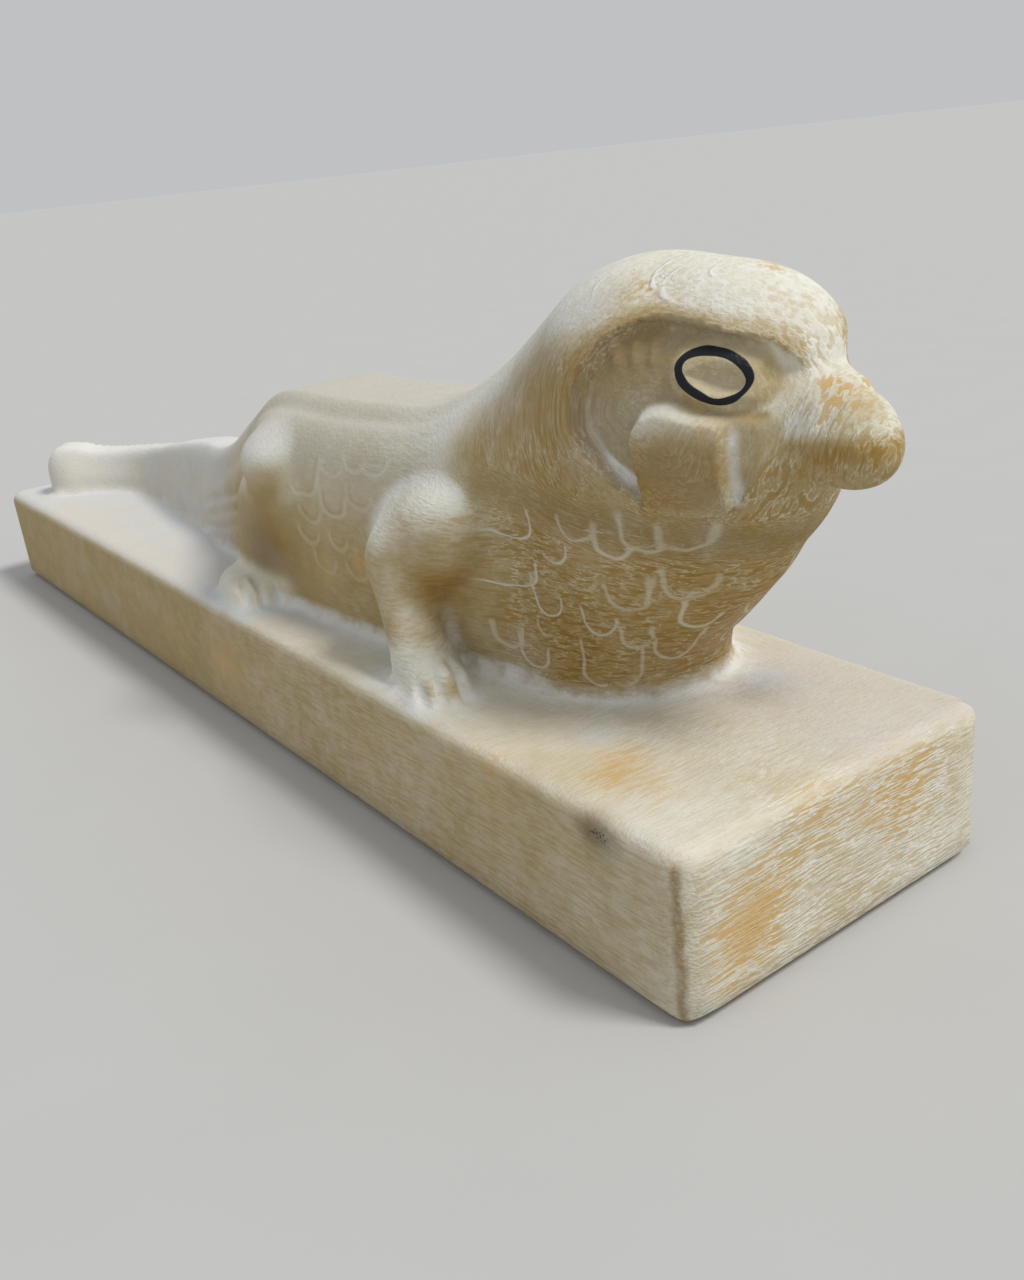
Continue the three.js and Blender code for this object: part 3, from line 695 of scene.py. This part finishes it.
FLANK_STRENGTH = 0.65


def drawn_shapes(across, height, shapes):
    """Signed distance to the nearest drawn shape, and how strongly it is drawn."""
    best, strength = np.full(len(across), FAR_AWAY), np.zeros(len(across))
    for middle, lowest, half, left, right, drawn in shapes:
        u, v = across - middle, height - lowest
        bowl = min(half, BOWL)
        flared = half * (1 + FLARE * np.maximum(v - bowl, 0))
        distance = (np.hypot(u / flared, np.minimum(v - bowl, 0) / bowl) - 1) * min(half, 3.2)
        top = np.where(u < 0, left, right)
        weight = drawn * fall(top - 0.8, top + 0.5, v) * fall(1, 1.5, np.abs(distance))
        nearer = (weight > 0) & (np.abs(distance) < np.abs(best))
        best, strength = np.where(nearer, distance, best), np.where(nearer, weight, strength)
    return best, strength


def drawn_marks(vertices):
    """Signed distance to the drawn shapes, how strongly they are drawn, and the place along the figure."""
    unsteady = Lumps(2.6, 7)
    x, y, z = (vertices[:, i] + LINE_SWAY * unsteady(*np.roll(vertices, -i, 1).T) for i in range(3))
    around = CHEST_ROUND * np.arctan2(y - HEAD_SIDE, x - CHEST_MIDDLE_X)
    around = np.where(around > 0, FAR_SHAPES_SHIFT - around, around)
    on_chest, on_crown = x > CHEST_BEHIND, (z > 52) & (x > 96)
    chest, flank = drawn_shapes(around, z, CHEST_SHAPES), drawn_shapes(x, z, FLANK_SHAPES)
    crown = drawn_shapes(y, x, CROWN_SHAPES)
    off_foreleg = rise(0.3, 1, z) * rise(-15, -13, y)
    distance = np.where(on_chest, chest[0], flank[0])
    strength = np.where(on_chest, chest[1] * off_foreleg, FLANK_STRENGTH * flank[1] * (np.abs(y) > 8))
    return np.stack([np.where(on_crown, crown[0], distance), np.where(on_crown, crown[1], strength), x], 1)


# Where the wash is worn through to warm ochre: place, reach, strength
WORN = (
    (143.5, -20.5, -16, 6, 1), (143.5, -17, -11, 5, 0.7), (143.5, 10.6, -8, 8, 0.7), (143.5, -6, -5, 6, 0.5),
    (122, -21.4, 0, 6, 0.62), (118, -17, 0, 5, 0.35), (129, -21, 0, 5, 0.25), (103, -30.7, -3, 6, 0.4),
    (3, -31, -14.5, 5, 0.6), (12, -31, -12, 5.5, 0.6), (-20, -31, -12, 9, 0.3), (129, 20, 0, 7, 0.3),
    (137.3, 4.4, 49.2, 1.8, 0.8), (111.8, -2.7, 60.9, 2.6, 0.45), (124, 8.5, 62.5, 3, 0.25),
    (139.9, 6.4, 47, 2.8, 0.25), (138, 3, 44.4, 2.4, 0.25), (137.4, 10.2, 49, 2, 0.35),
    (129.4, 3.9, 59.1, 3, 0.15), (126.2, -6.6, 44.2, 1.8, 0.5), (71, -21.5, 28, 3, 0.3),
    (50.5, -18.6, 14, 3, 0.8), (37, -19, 12, 4, 0.4), (22.2, -21.4, 28, 3.4, 0.3), (118, -4, 14, 5, 0.3),
    (36, 22, 11, 5, 0.6), (90, 24, 30, 5, 0.4), (110, 24, 20, 6, 0.4), (60, 31, -9, 10, 0.5),
    (-90, 31, -12, 9, 0.4), (132, 10, 54, 3, 0.2),
)
# Where it lies darker or paler than round about: place, reach, change. Some of these are painted light:
# highlights on the near shoulder's and the knees' tops, and shade under the near shoulder, on the near
# hind leg below the knee and on the slab under the head.
TOUCHES_AND_PAINTED_LIGHT = (
    (75, -18, 15.5, 3.6, -0.26), (79, -16, 17, 3.6, -0.12), (20, -20, 12, 8, -0.24),
    (127, -31, -2.5, 2.2, -0.4), (74, -16, 31, 7, 0.04), (80, -14, 30, 5, 0.02), (140.5, 5.5, 47.5, 3, -0.14),
    (20, -18, 33, 6, 0.16), (127, -11, 0, 9, -0.04), (114, -26, 0, 7, -0.06), (66, -20, 28, 7, -0.12),
    (98, -9, 7, 6, -0.12), (118, -2, 14, 5, -0.08), (143, -8, 44, 5, 0.04), (137, -27, 0, 8, 0.08),
    (143.5, 18, -17, 9, 0.05), (66, -24, 15, 4, 0.1), (74, -24, 10, 5, 0.12), (86, -14, 27, 4, 0.12),
    (86, -12, 19, 3.5, 0.1), (-132, -18, 10, 12, 0.1), (78, 20, 30, 7, 0.1), (20, 20, 34, 6, 0.12),
    (126, 8, 62, 8, 0.04), (114, -11, 46, 5, 0.16), (123, 10, 62.6, 2.6, -0.22), (133.7, 0.5, 42.8, 3, 0.08),
    (110, -8, 57, 8, -0.18), (108.1, -3.5, 60.9, 2.8, -0.1), (117.4, -1, 61.2, 2.4, -0.08),
    (16, -21, 6, 8, -0.06), (99, -6, 53, 6, -0.06), (141.5, 4, 45, 6, -0.16), (133, -0.5, 49.5, 3.4, -0.16),
    (82.9, -27, 2.6, 1.9, -0.24), (85.3, -23.7, 2.6, 1.9, -0.3), (18, -21.5, 32, 6, 0.22),
    (21, -22, 23, 5, -0.1), (115, 13, 0, 7, -0.16), (96, -9, 46, 7, -0.06),
)


def touched(place, touches):
    return sum(change * spot(place, centre, reach) for *centre, reach, change in touches)


# How pale the wash is in each place, from 0, deep ochre, to 1, thick wash. In a few places the level
# is painted light: shade along the brow's rim, and some of the touches.
BODY_WASH, BODY_MOST, THROAT_WASH, FOOT_WASH, NAPE_WASH = 0.36, 0.84, 0.30, 0.80, 0.36
CERE_WASH, UNDER_BEAK_WASH = 0.78, 0.38
FLOOR_WASH, SLOPE_WASH, BROW_RIM_SHADE_WASH, CHEEK_WASH, POCKET_WASH = 0.35, 0.30, 0.42, 0.17, 0.44
MOUND_WASH, LINE_WASH = 0.5, 0.34
SLAB_SIDE_WASH, SLAB_TOP_WASH = 0.47, 0.69


def body_wash(s):
    """Paler upwards and on the tail, ochre on throat and nape, thick on the feet."""
    x, y, z = s.place
    high = rise(14, 32, z)
    level = BODY_WASH + 0.2 * high + 0.32 * rise(-0.1, 0.75, s.up) * rise(2, 30, z + 12 * s.up)
    flank = fall(45, 75, x) * (1 - 0.6 * fall(40, 60, x) * fall(30, 36, z))
    level = np.minimum(level, BODY_MOST) - 0.11 * high * flank
    level = level + (0.26 + 0.13 * fall(-120, -90, x)) * fall(-50, -25, x) * rise(-0.6, 2.5, z)
    level = towards(level, THROAT_WASH, s.throat)
    foot_end = rise(62, 68, x) + fall(20, 26, x) * rise(-12, -6, x)
    foot = rise(14, 17, np.abs(y)) * fall(5, 9, z) * foot_end * (1 - s.throat)
    level = towards(level, FOOT_WASH, foot)
    level = towards(level, NAPE_WASH - 0.08 * rise(92, 102, x), 0.85 * s.nape)
    level = towards(level, CERE_WASH, rise(126, 131, x) * rise(41.5, 44.5, z))
    return towards(level, UNDER_BEAK_WASH, rise(128, 131, x) * fall(39, 43, z))


def face_wash(level, s):
    x, _, z = s.place
    level = towards(level, FLOOR_WASH + 0.08 * rise(110, 118, x), s.sunken * fall(126, 131.5, x))
    level = towards(level, SLOPE_WASH + 0.12 * rise(49, 54, z), s.slope)
    # Painted shade along the face's upper edge, under the brow.
    rim = s.beside_head * fall(0.6, 2.6, np.abs(outline_distance(FACE_OUTLINE, x, z))) * rise(50, 54, z)
    level = towards(level, BROW_RIM_SHADE_WASH, 0.8 * rim * (1 - s.sunken))
    level = towards(level, CHEEK_WASH + 0.65 * rise(41, 47, z), s.on_cheek * rise(32, 35, z))
    pocket = s.sunken * rise(126.5, 128, x) * fall(44, 47, z)
    level = towards(level, POCKET_WASH + 0.15 * fall(35, 38, z), pocket)
    level = towards(level, MOUND_WASH, s.beside_head * fall(-0.4, 0.6, s.mound))
    for line, width in ((LID_LINE, 0.8), (MOUTH_LINE, 0.9)):
        level = towards(level, LINE_WASH, s.beside_head * bump(path_distance(line, x, z) / width))
    return level


def wash_and_painted_light_level(s):
    x, _, z = s.place
    level = face_wash(body_wash(s), s)
    side = SLAB_SIDE_WASH + 0.11 * np.clip(s.ahead, 0, 1) - 0.08 * fall(-10, 40, x) + 0.1 * rise(105, 140, x)
    slab = towards(side, SLAB_TOP_WASH + 0.07 * fall(-20, 60, x), rise(0.25, 0.85, s.up))
    # The touches add painted highlights and painted shade in a few places.
    return np.clip(towards(level, slab, fall(0.15, 0.6, z)) + touched(s.place, TOUCHES_AND_PAINTED_LIGHT), 0, 1)


def bare_share(s):
    """Where pale threads of wash lie on bare ochre."""
    x, _, z = s.place
    return most(s.slope, 0.8 * s.throat, 0.6 * s.nape, s.on_cheek * fall(44, 46, z),
                0.25 * rise(128, 133, x) * fall(42, 48, z),
                0.2 * rise(-40, 60, x) * fall(0.1, 0.3, s.up) * (z < 0))


def powder_share(s):
    """Pale powder left in the carved creases, round the shoulder and where the figure meets the slab."""
    x, y, z = s.place
    crease = bump((s.floor + 0.2) / (0.3 + 0.55 * fall(37, 41, z))) * fall(116, 117.5, x) * fall(47, 52, z)
    crease = crease * (0.25 + 0.7 * fall(39, 44, z))
    edge = 0.5 * bump(s.cheek / 0.3) * fall(119, 121, x) * rise(34, 36, z)
    wall = 0.75 * rise(-0.2, 0.2, s.cheek) * fall(0.3, 1.2, s.cheek) * rise(126.5, 127.5, x)
    wall = wall * fall(43, 45.5, z) * rise(33.5, 35, z)
    contact = rise(0.12, 0.5, s.hollow) * fall(2, 4, z) * fall(2.5, 6, z) * rise(-1, 0, z)
    beside = bump(np.minimum(s.off_figure, 9) / 4.2) * rise(16, 60, x) * rise(0.3, 0.9, s.up)
    beside = beside * fall(0.4, 2, z) * rise(-1, -0.3, z)
    off_shoulder = shoulder_field((x, -y, z), NEAR_SIDE["shoulder_out"])
    rim = bump((off_shoulder - 1) / 1.3) * rise(19, 24, z) * fall(62, 72, x) * (y < 0)
    creases = rise(0.35, 0.8, s.hollow) * fall(100, 104, x)
    return most(s.beside_head * most(crease, edge, wall), 0.6 * rim, contact, 0.95 * beside, 0.5 * creases)


def cool_dust_and_shade(s):
    """Grey-blue on the slab beside the figure and under the head, partly dust and partly painted shade, and
    grey-blue dust on the nape and on the tail.
    """
    x, y, z = s.place
    beside = bump(np.minimum(s.off_figure, 40) / (6 + 5 * fall(-10, 20, x))) * (0.25 + 0.6 * fall(55, 80, x))
    blots = most(beside, 0.8 * spot((x, y), (115, 14), 6), 0.6 * spot((x, y), (110, -16), 4))
    nape = rise(74, 84, x) * fall(96, 108, x) * rise(36, 46, z) * rise(0, 0.6, s.up)
    return most(s.slab_top * blots, 0.4 * s.tail * rise(-130, -100, x), 0.45 * nape,
                0.5 * spot(s.place, (104, -6, 59), 5))


def rosy_dust(s):
    """Rosy white on the slab's ends, the tail and the back."""
    x, y, z = s.place
    slab = s.slab_top * (0.85 * fall(-10, 60, x) + 0.7 * rise(98, 116, x) * rise(-6, 10, y))
    back = fall(66, 84, x) * rise(0.5, 0.95, s.up) * rise(24, 34, z)
    return most(slab, 0.5 * s.tail, 0.7 * back)


def grime(s):
    """Grey-brown darkening: painted shade on the face's floor under the brow, low on the hind legs and on the
    slab under the head, a little darker high on the flanks, and a stain on the slab's edge.
    """
    x, y, z = s.place
    # Painted shade: on the face's floor under the brow, low on the hind legs, and on the slab under the head.
    face = s.shaded_face_floor * rise(-0.5, 0.5, s.mound) * (1 - 0.8 * fall(-0.3, 0.3, s.cheek))
    thigh = spot((x, np.abs(y), z), (14, 21, 9), 9) * rise(4, 8, z)
    flank = rise(26, 32, z) * fall(60, 80, x)
    edge_stain = spot((x / 1.7, y, z), (128.4 / 1.7, -31, -2.6), 2)
    return most(0.34 * face, 0.5 * thigh, 0.18 * flank, 0.46 * s.slab_top * spot((x, y), (115.5, 10), 6.5),
                0.9 * edge_stain)


def surface_values(vertices):
    s = Surface(vertices)
    # The grey-blue and grey-brown shares are partly painted shade.
    return dict(ring=eye_ring(*s.place), powder=powder_share(s), wash=wash_and_painted_light_level(s), bare=bare_share(s),
                grain=1 - 0.6 * s.sunken * (1 - s.slope), worn=touched(s.place, WORN),
                dust_and_shade=np.stack([cool_dust_and_shade(s), rosy_dust(s), grime(s)], 1),
                strokes=stroke_coordinates(*s.place), shares=stroke_shares(s), marks=drawn_marks(vertices))


def skin_mesh(name, vertices, quads, halves, values):
    mesh = bpy.data.meshes.new(name)
    place = (vertices + np.array([FIGURE_MIDDLE_X, 0, PLINTH_HEIGHT])) * MILLIMETRE
    mesh.from_pydata(place, [], closed_rings(quads, halves))
    mesh.shade_smooth()
    for key, value in values.items():
        kind, field = ("FLOAT", "value") if value.ndim == 1 else ("FLOAT_VECTOR", "vector")
        layer = mesh.attributes.new(key, kind, "POINT")
        layer.data.foreach_set(field, value.astype(np.float32).ravel())
    mesh.validate()
    return mesh


def link(thing):
    bpy.context.scene.collection.objects.link(thing)
    return thing


# Materials

class Nodes:
    """Short names for the nodes that the materials are made of."""

    def __init__(self, name):
        self.material = bpy.data.materials.new(name)
        self.material.use_nodes = True
        self.tree = self.material.node_tree
        self.shader = self.tree.nodes["Principled BSDF"]

    def add(self, kind, settings=None, **inputs):
        node = self.tree.nodes.new("ShaderNode" + kind)
        for key, value in (settings or {}).items():
            setattr(node, key, value)
        for key, value in inputs.items():
            self.put(node.inputs[key.replace("_", " ")], value)
        return node

    def put(self, socket, value):
        if isinstance(value, bpy.types.NodeSocket):
            self.tree.links.new(value, socket)
        else:
            socket.default_value = value

    def attribute(self, name):
        return self.add("Attribute", dict(attribute_name=name)).outputs["Fac"]

    def attributes(self, name):
        return self.split(self.add("Attribute", dict(attribute_name=name)).outputs["Vector"])

    def math(self, operation, a, b=0.0, clamp=False, kind="Math"):
        node = self.add(kind, dict(operation=operation))
        if clamp:
            node.use_clamp = True
        self.put(node.inputs[0], a)
        self.put(node.inputs[1], b)
        return node.outputs[0]

    def plus(self, a, b, clamp=False):
        return self.math("ADD", a, b, clamp)

    def minus(self, a, b):
        return self.math("SUBTRACT", a, b)

    def times(self, a, *others):
        for other in others:
            a = self.math("MULTIPLY", a, other)
        return a

    def towards(self, a, b, share):
        return self.plus(a, self.times(self.minus(b, a), share))

    def swing(self, value, weight):
        """A value from 0 to 1 counted from its middle, and weighted."""
        return self.times(self.minus(value, 0.5), weight)

    def ramp(self, value, start, end, low=0.0, high=1.0):
        node = self.add("MapRange", dict(interpolation_type="SMOOTHSTEP"))
        for socket, v in zip(node.inputs, (value, start, end, low, high)):
            self.put(socket, v)
        return node.outputs[0]

    def band(self, value, middle, outer, inner):
        """1 where a value is within inner of middle, 0 where it is further off than outer."""
        return self.ramp(self.math("ABSOLUTE", self.minus(value, middle)), outer, inner)

    def stretch(self, vector, scale):
        return self.math("MULTIPLY", vector, scale, kind="VectorMath")

    def noise(self, vector, scale, detail=2.0, roughness=0.55):
        return self.add("TexNoise", None, Vector=vector, Scale=scale, Detail=detail,
                        Roughness=roughness).outputs["Fac"]

    def streaks(self, vector, scale):
        return self.noise(self.stretch(vector, scale), 1.0, 2.0, 0.5)

    def mix(self, factor, a, b):
        node = self.add("Mix", dict(data_type="RGBA"))
        self.put(node.inputs["Factor"], factor)
        for socket, value in ((node.inputs[6], a), (node.inputs[7], b)):
            self.put(socket, (*value, 1) if isinstance(value, tuple) else value)
        return node.outputs[2]

    def cover(self, under, over, *shares):
        return self.mix(self.times(*shares), under, over)

    def split(self, vector):
        return self.add("SeparateXYZ", None, Vector=vector).outputs

    def join(self, x, y, z):
        return self.add("CombineXYZ", None, X=x, Y=y, Z=z).outputs[0]


WASH_COLOURS = (
    (0.00, (0.260, 0.150, 0.035)), (0.18, (0.360, 0.228, 0.068)), (0.38, (0.440, 0.333, 0.162)),
    (0.60, (0.580, 0.505, 0.350)), (0.80, (0.725, 0.705, 0.605)), (1.00, (0.810, 0.805, 0.750)),
)
POWDER = (0.80, 0.81, 0.79)
# Grey-blue: dust, and painted shade on the slab beside the figure and under the head.
DUST_AND_SHADE = (0.60, 0.63, 0.66)
ROSY = (0.61, 0.575, 0.55)
# Grey-brown: stains, and painted shade on the face's floor, the hind legs and the slab under the head.
GRIME_AND_SHADE = (0.20, 0.185, 0.155)
FLECK = (0.045, 0.05, 0.06)
SPECK = (0.14, 0.10, 0.06)
LINE = (0.72, 0.68, 0.54)
PAINT = (0.006, 0.008, 0.013)
WARM = (0.60, 0.385, 0.14)
ROSY_TONE, GREEN_TONE = (0.78, 0.60, 0.50), (0.60, 0.63, 0.60)
CORNER_BROWN = (0.27, 0.165, 0.055)
CORNER_DIAGONAL = 113.6     # how much further out the brown line lies along the slab than across it
CHEST_LINE, FLANK_LINE = 0.28, 0.55     # half the width of a drawn line, in millimetres
SMOOTH_ROUGHNESS, PAINT_ROUGHNESS, SPECULAR = 0.88, 0.40, 0.28
BUMP_STRENGTH, BUMP_DEPTH = 0.8, 0.0004


def stone_nodes():
    """What several colours share: the skin's attributes, noise of several sizes and the brush strokes."""
    n = Nodes("painted_cast_stone")
    position = n.add("NewGeometry").outputs["Position"]
    n.place = n.stretch(position, (1 / MILLIMETRE,) * 3)
    n.mottle, n.patches = n.noise(n.place, 1.5), n.noise(n.place, 0.30)
    n.blotches, n.specks = n.noise(n.place, 0.075, 3.0), n.noise(n.place, 2.6, 2.0, 0.6)
    # The wash level carries a little painted light and shade too.
    n.wash, n.bare, n.worn = (n.attribute(name) for name in ("wash", "bare", "worn"))
    n.on_figure, n.crosswise, n.strength = n.attributes("shares")
    n.mark, n.drawn, n.along = n.attributes("marks")
    n.cool, n.rosy, n.grime = n.attributes("dust_and_shade")
    n.strokes = brush_strokes(n)
    n.stroke_strength = n.times(n.attribute("grain"), n.strength)
    n.ridges = n.ramp(n.strokes, 0.46, 0.62)
    n.threads = n.band(n.strokes, 0.53, 0.065, 0.010)
    return n


def brush_strokes(n):
    """Strokes along the slab's long sides, across its front, and along the figure's own directions."""
    sway = n.swing(n.noise(n.place, 0.05, 1.0), 2.4)
    bent = n.math("ADD", n.place, n.join(sway, sway, sway), kind="VectorMath")
    own = n.attributes("strokes")
    own = n.join(n.plus(own[0], sway), own[1], own[2])
    slab = n.towards(n.streaks(bent, (0.22, 2.6, 2.6)), n.streaks(bent, (2.8, 0.24, 2.8)), n.crosswise)
    return n.towards(slab, n.streaks(own, (2.0, 0.42, 0.42)), n.on_figure)


def fine_change(n):
    """Light and dark of the strokes, pale threads on bare ochre and thin cracks in thick wash."""
    fine = n.plus(n.swing(n.strokes, 0.40), n.swing(n.mottle, 0.12))
    shown = n.times(n.bare, n.ramp(n.patches, 0.35, 0.6, 0.4, 1.1), 0.38)
    fine = n.plus(fine, n.times(n.minus(n.threads, 0.35), shown))
    cracks = n.minus(n.band(n.strokes, 0.40, 0.030, 0.004), 0.12)
    fine = n.minus(fine, n.times(cracks, n.ramp(n.wash, 0.4, 0.7, 0.0, 0.08)))
    return n.times(fine, n.stroke_strength)


def broad_change(n):
    """Blotches, and a little shade under the lines drawn on the flank."""
    broad = n.plus(n.swing(n.blotches, 0.26), n.swing(n.patches, 0.18))
    broad = n.times(broad, n.plus(n.times(n.strength, 0.6), 0.4))
    below = n.times(n.ramp(n.mark, -2.4, -0.5), n.ramp(n.mark, 0.0, -0.5), n.drawn,
                    n.ramp(n.along, 62.0, 54.0, 0.0, -0.16))
    return n.plus(broad, below)


def washed(n):
    level = n.plus(n.wash, n.plus(fine_change(n), broad_change(n)), clamp=True)
    ramp = n.add("ValToRGB", None, Fac=level)
    stops = ramp.color_ramp.elements
    for i, (at, colour) in enumerate(WASH_COLOURS):
        stop = stops[i] if i < 2 else stops.new(at)
        stop.position, stop.color = at, (*colour, 1)
    return ramp.outputs["Color"]


def worn_through(n, colour):
    """Warm ochre where the wash is worn, and two broad tones."""
    ground = n.plus(n.worn, n.swing(n.patches, 0.8))
    ground = n.plus(ground, n.times(n.swing(n.ridges, -0.6), n.strength))
    ground = n.minus(ground, n.times(n.threads, n.strength, 0.5))
    colour = n.cover(colour, WARM, n.ramp(ground, 0.05, 0.95, 0.0, 0.85), n.ramp(n.worn, 0.02, 0.3))
    tone = n.noise(n.place, 0.042)
    colour = n.cover(colour, ROSY_TONE, n.ramp(tone, 0.52, 0.72, 0.0, 0.12))
    return n.cover(colour, GREEN_TONE, n.ramp(tone, 0.46, 0.28, 0.0, 0.16))


# Rosy and grey-blue dust, grey-brown stains and dark flecks; part of the grey-blue and the grey-brown is
# painted shade.
def dusted_and_shaded(n, colour):
    colour = n.cover(colour, ROSY, n.rosy, n.ramp(n.patches, 0.3, 0.7, 0.6, 0.9))
    colour = n.cover(colour, DUST_AND_SHADE, n.cool, n.ramp(n.blotches, 0.35, 0.6, 0.45, 0.95))
    dirt_and_shade = n.math("MINIMUM", n.grime, 0.5)
    colour = n.cover(colour, GRIME_AND_SHADE, dirt_and_shade, n.ramp(n.mottle, 0.35, 0.65, 0.75, 1.2))
    flecks = n.plus(n.grime, n.swing(n.specks, 1.5))
    return n.cover(colour, FLECK, n.ramp(flecks, 0.78, 0.9, 0.0, 0.8))


def drawn_lines(n):
    off = n.plus(n.math("ABSOLUTE", n.mark), n.swing(n.patches, 0.5))
    half = n.ramp(n.along, 54.0, 62.0, FLANK_LINE, CHEST_LINE)
    lines = n.math("DIVIDE", n.minus(n.times(half, 1.5), off), half, clamp=True)
    return n.times(lines, n.drawn)


def powdered(n, colour):
    colour = n.cover(colour, POWDER, n.attribute("powder"), n.ramp(n.patches, 0.25, 0.6, 0.5, 1.0), 0.85)
    return n.cover(colour, SPECK, n.ramp(n.specks, 0.70, 0.76, 0.0, 0.55))


def brown_corners(n, colour):
    """A brown line down each corner of the slab."""
    x, y, z = n.split(n.place)
    diagonal = n.minus(n.math("ABSOLUTE", x), n.math("ABSOLUTE", y))
    corner = n.band(n.plus(diagonal, n.swing(n.patches, 2.4)), CORNER_DIAGONAL, 1.7, 0.2)
    return n.cover(colour, CORNER_BROWN, corner, n.ramp(z, 25.2, 23.6, 0.0, 0.75),
                   n.ramp(n.mottle, 0.3, 0.6, 0.55))


def relief(n, lines):
    height = n.plus(n.times(n.strokes, 0.4), n.times(n.ridges, 0.1))
    height = n.plus(n.times(height, n.stroke_strength), n.times(n.mottle, 0.35))
    height = n.plus(height, n.times(lines, 0.6))
    bumps = n.add("Bump", None, Strength=BUMP_STRENGTH, Distance=BUMP_DEPTH, Height=height)
    return bumps.outputs[0]


def painted_stone():
    """Brushed cream wash over ochre, with what was drawn, painted and left on it."""
    n = stone_nodes()
    colour = dusted_and_shaded(n, worn_through(n, washed(n)))
    lines = drawn_lines(n)
    slip = n.mix(n.ramp(n.wash, 0.5, 0.8), LINE, POWDER)
    colour = brown_corners(n, powdered(n, n.cover(colour, slip, lines, 0.75)))
    paint = n.ramp(n.attribute("ring"), 0.05, -0.05)
    roughness = n.ramp(n.plus(n.patches, paint), 0.3, 1.6, SMOOTH_ROUGHNESS, PAINT_ROUGHNESS)
    n.put(n.shader.inputs["Base Color"], n.cover(colour, PAINT, paint))
    n.put(n.shader.inputs["Roughness"], roughness)
    n.put(n.shader.inputs["Normal"], relief(n, lines))
    n.shader.inputs["Specular IOR Level"].default_value = SPECULAR
    return n.material


FLOOR_SIZE = 80.0
FLOOR_TONES = (0.51, 0.51, 0.505), (0.53, 0.53, 0.525)


def plain_floor():
    n = Nodes("pale_floor")
    grain = n.noise(n.add("NewGeometry").outputs["Position"], 40.0)
    n.put(n.shader.inputs["Base Color"], n.mix(grain, *FLOOR_TONES))
    n.shader.inputs["Roughness"].default_value = 0.85
    bpy.ops.mesh.primitive_plane_add(size=FLOOR_SIZE)
    floor = bpy.context.object
    floor.name = "floor"
    floor.data.materials.append(n.material)
    return floor


# Camera and light

CAMERA_PLACE = (0.23605, -0.11271, 0.10524)
CAMERA_TURN, CAMERA_DROP, CAMERA_ROLL = 0.9735, 0.3826, -0.1104
CAMERA_LENS = 33.81
SENSOR_HEIGHT = 36.0
LIGHT_COLOUR, LIGHT_ENERGY = (1.0, 0.975, 0.93), 2.05
LIGHT_TOWARDS = (0.42, 0.25, 0.72)
LIGHT_ANGLE = 16            # degrees
SURROUND_COLOUR, SURROUND_STRENGTH = (0.95, 0.975, 1.0, 1), 0.55


def photo_camera():
    camera = bpy.data.cameras.new("camera")
    camera.sensor_fit = "VERTICAL"
    camera.sensor_height = SENSOR_HEIGHT
    camera.lens = CAMERA_LENS
    camera.clip_start = 5 * MILLIMETRE
    holder = link(bpy.data.objects.new("camera", camera))
    holder.matrix_world = Matrix.Translation(CAMERA_PLACE)
    for angle, axis in ((CAMERA_TURN, "Z"), (math.pi / 2 - CAMERA_DROP, "X"), (CAMERA_ROLL, "Z")):
        holder.matrix_world @= Matrix.Rotation(angle, 4, axis)
    bpy.context.scene.camera = holder


def studio():
    """One broad soft light from above, in front and the far side, and a pale surround."""
    light = bpy.data.lights.new("broad_light", "SUN")
    light.angle = math.radians(LIGHT_ANGLE)
    light.energy = LIGHT_ENERGY
    light.color = LIGHT_COLOUR
    holder = link(bpy.data.objects.new("broad_light", light))
    holder.rotation_euler = Vector(LIGHT_TOWARDS).to_track_quat("Z", "Y").to_euler()
    world = bpy.data.worlds.new("world")
    world.use_nodes = True
    background = world.node_tree.nodes["Background"]
    background.inputs["Color"].default_value = SURROUND_COLOUR
    background.inputs["Strength"].default_value = SURROUND_STRENGTH
    scene = bpy.context.scene
    scene.world = world
    scene.view_settings.view_transform = "Standard"


# The scene

photo_camera()
studio()
plain_floor()

vertices, quads, halves = make_skin()
mesh = skin_mesh("figure", vertices, quads, halves, surface_values(vertices))
mesh.materials.append(painted_stone())
figure = link(bpy.data.objects.new("figure", mesh))
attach(figure, "root")
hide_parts("figure_on_plinth")
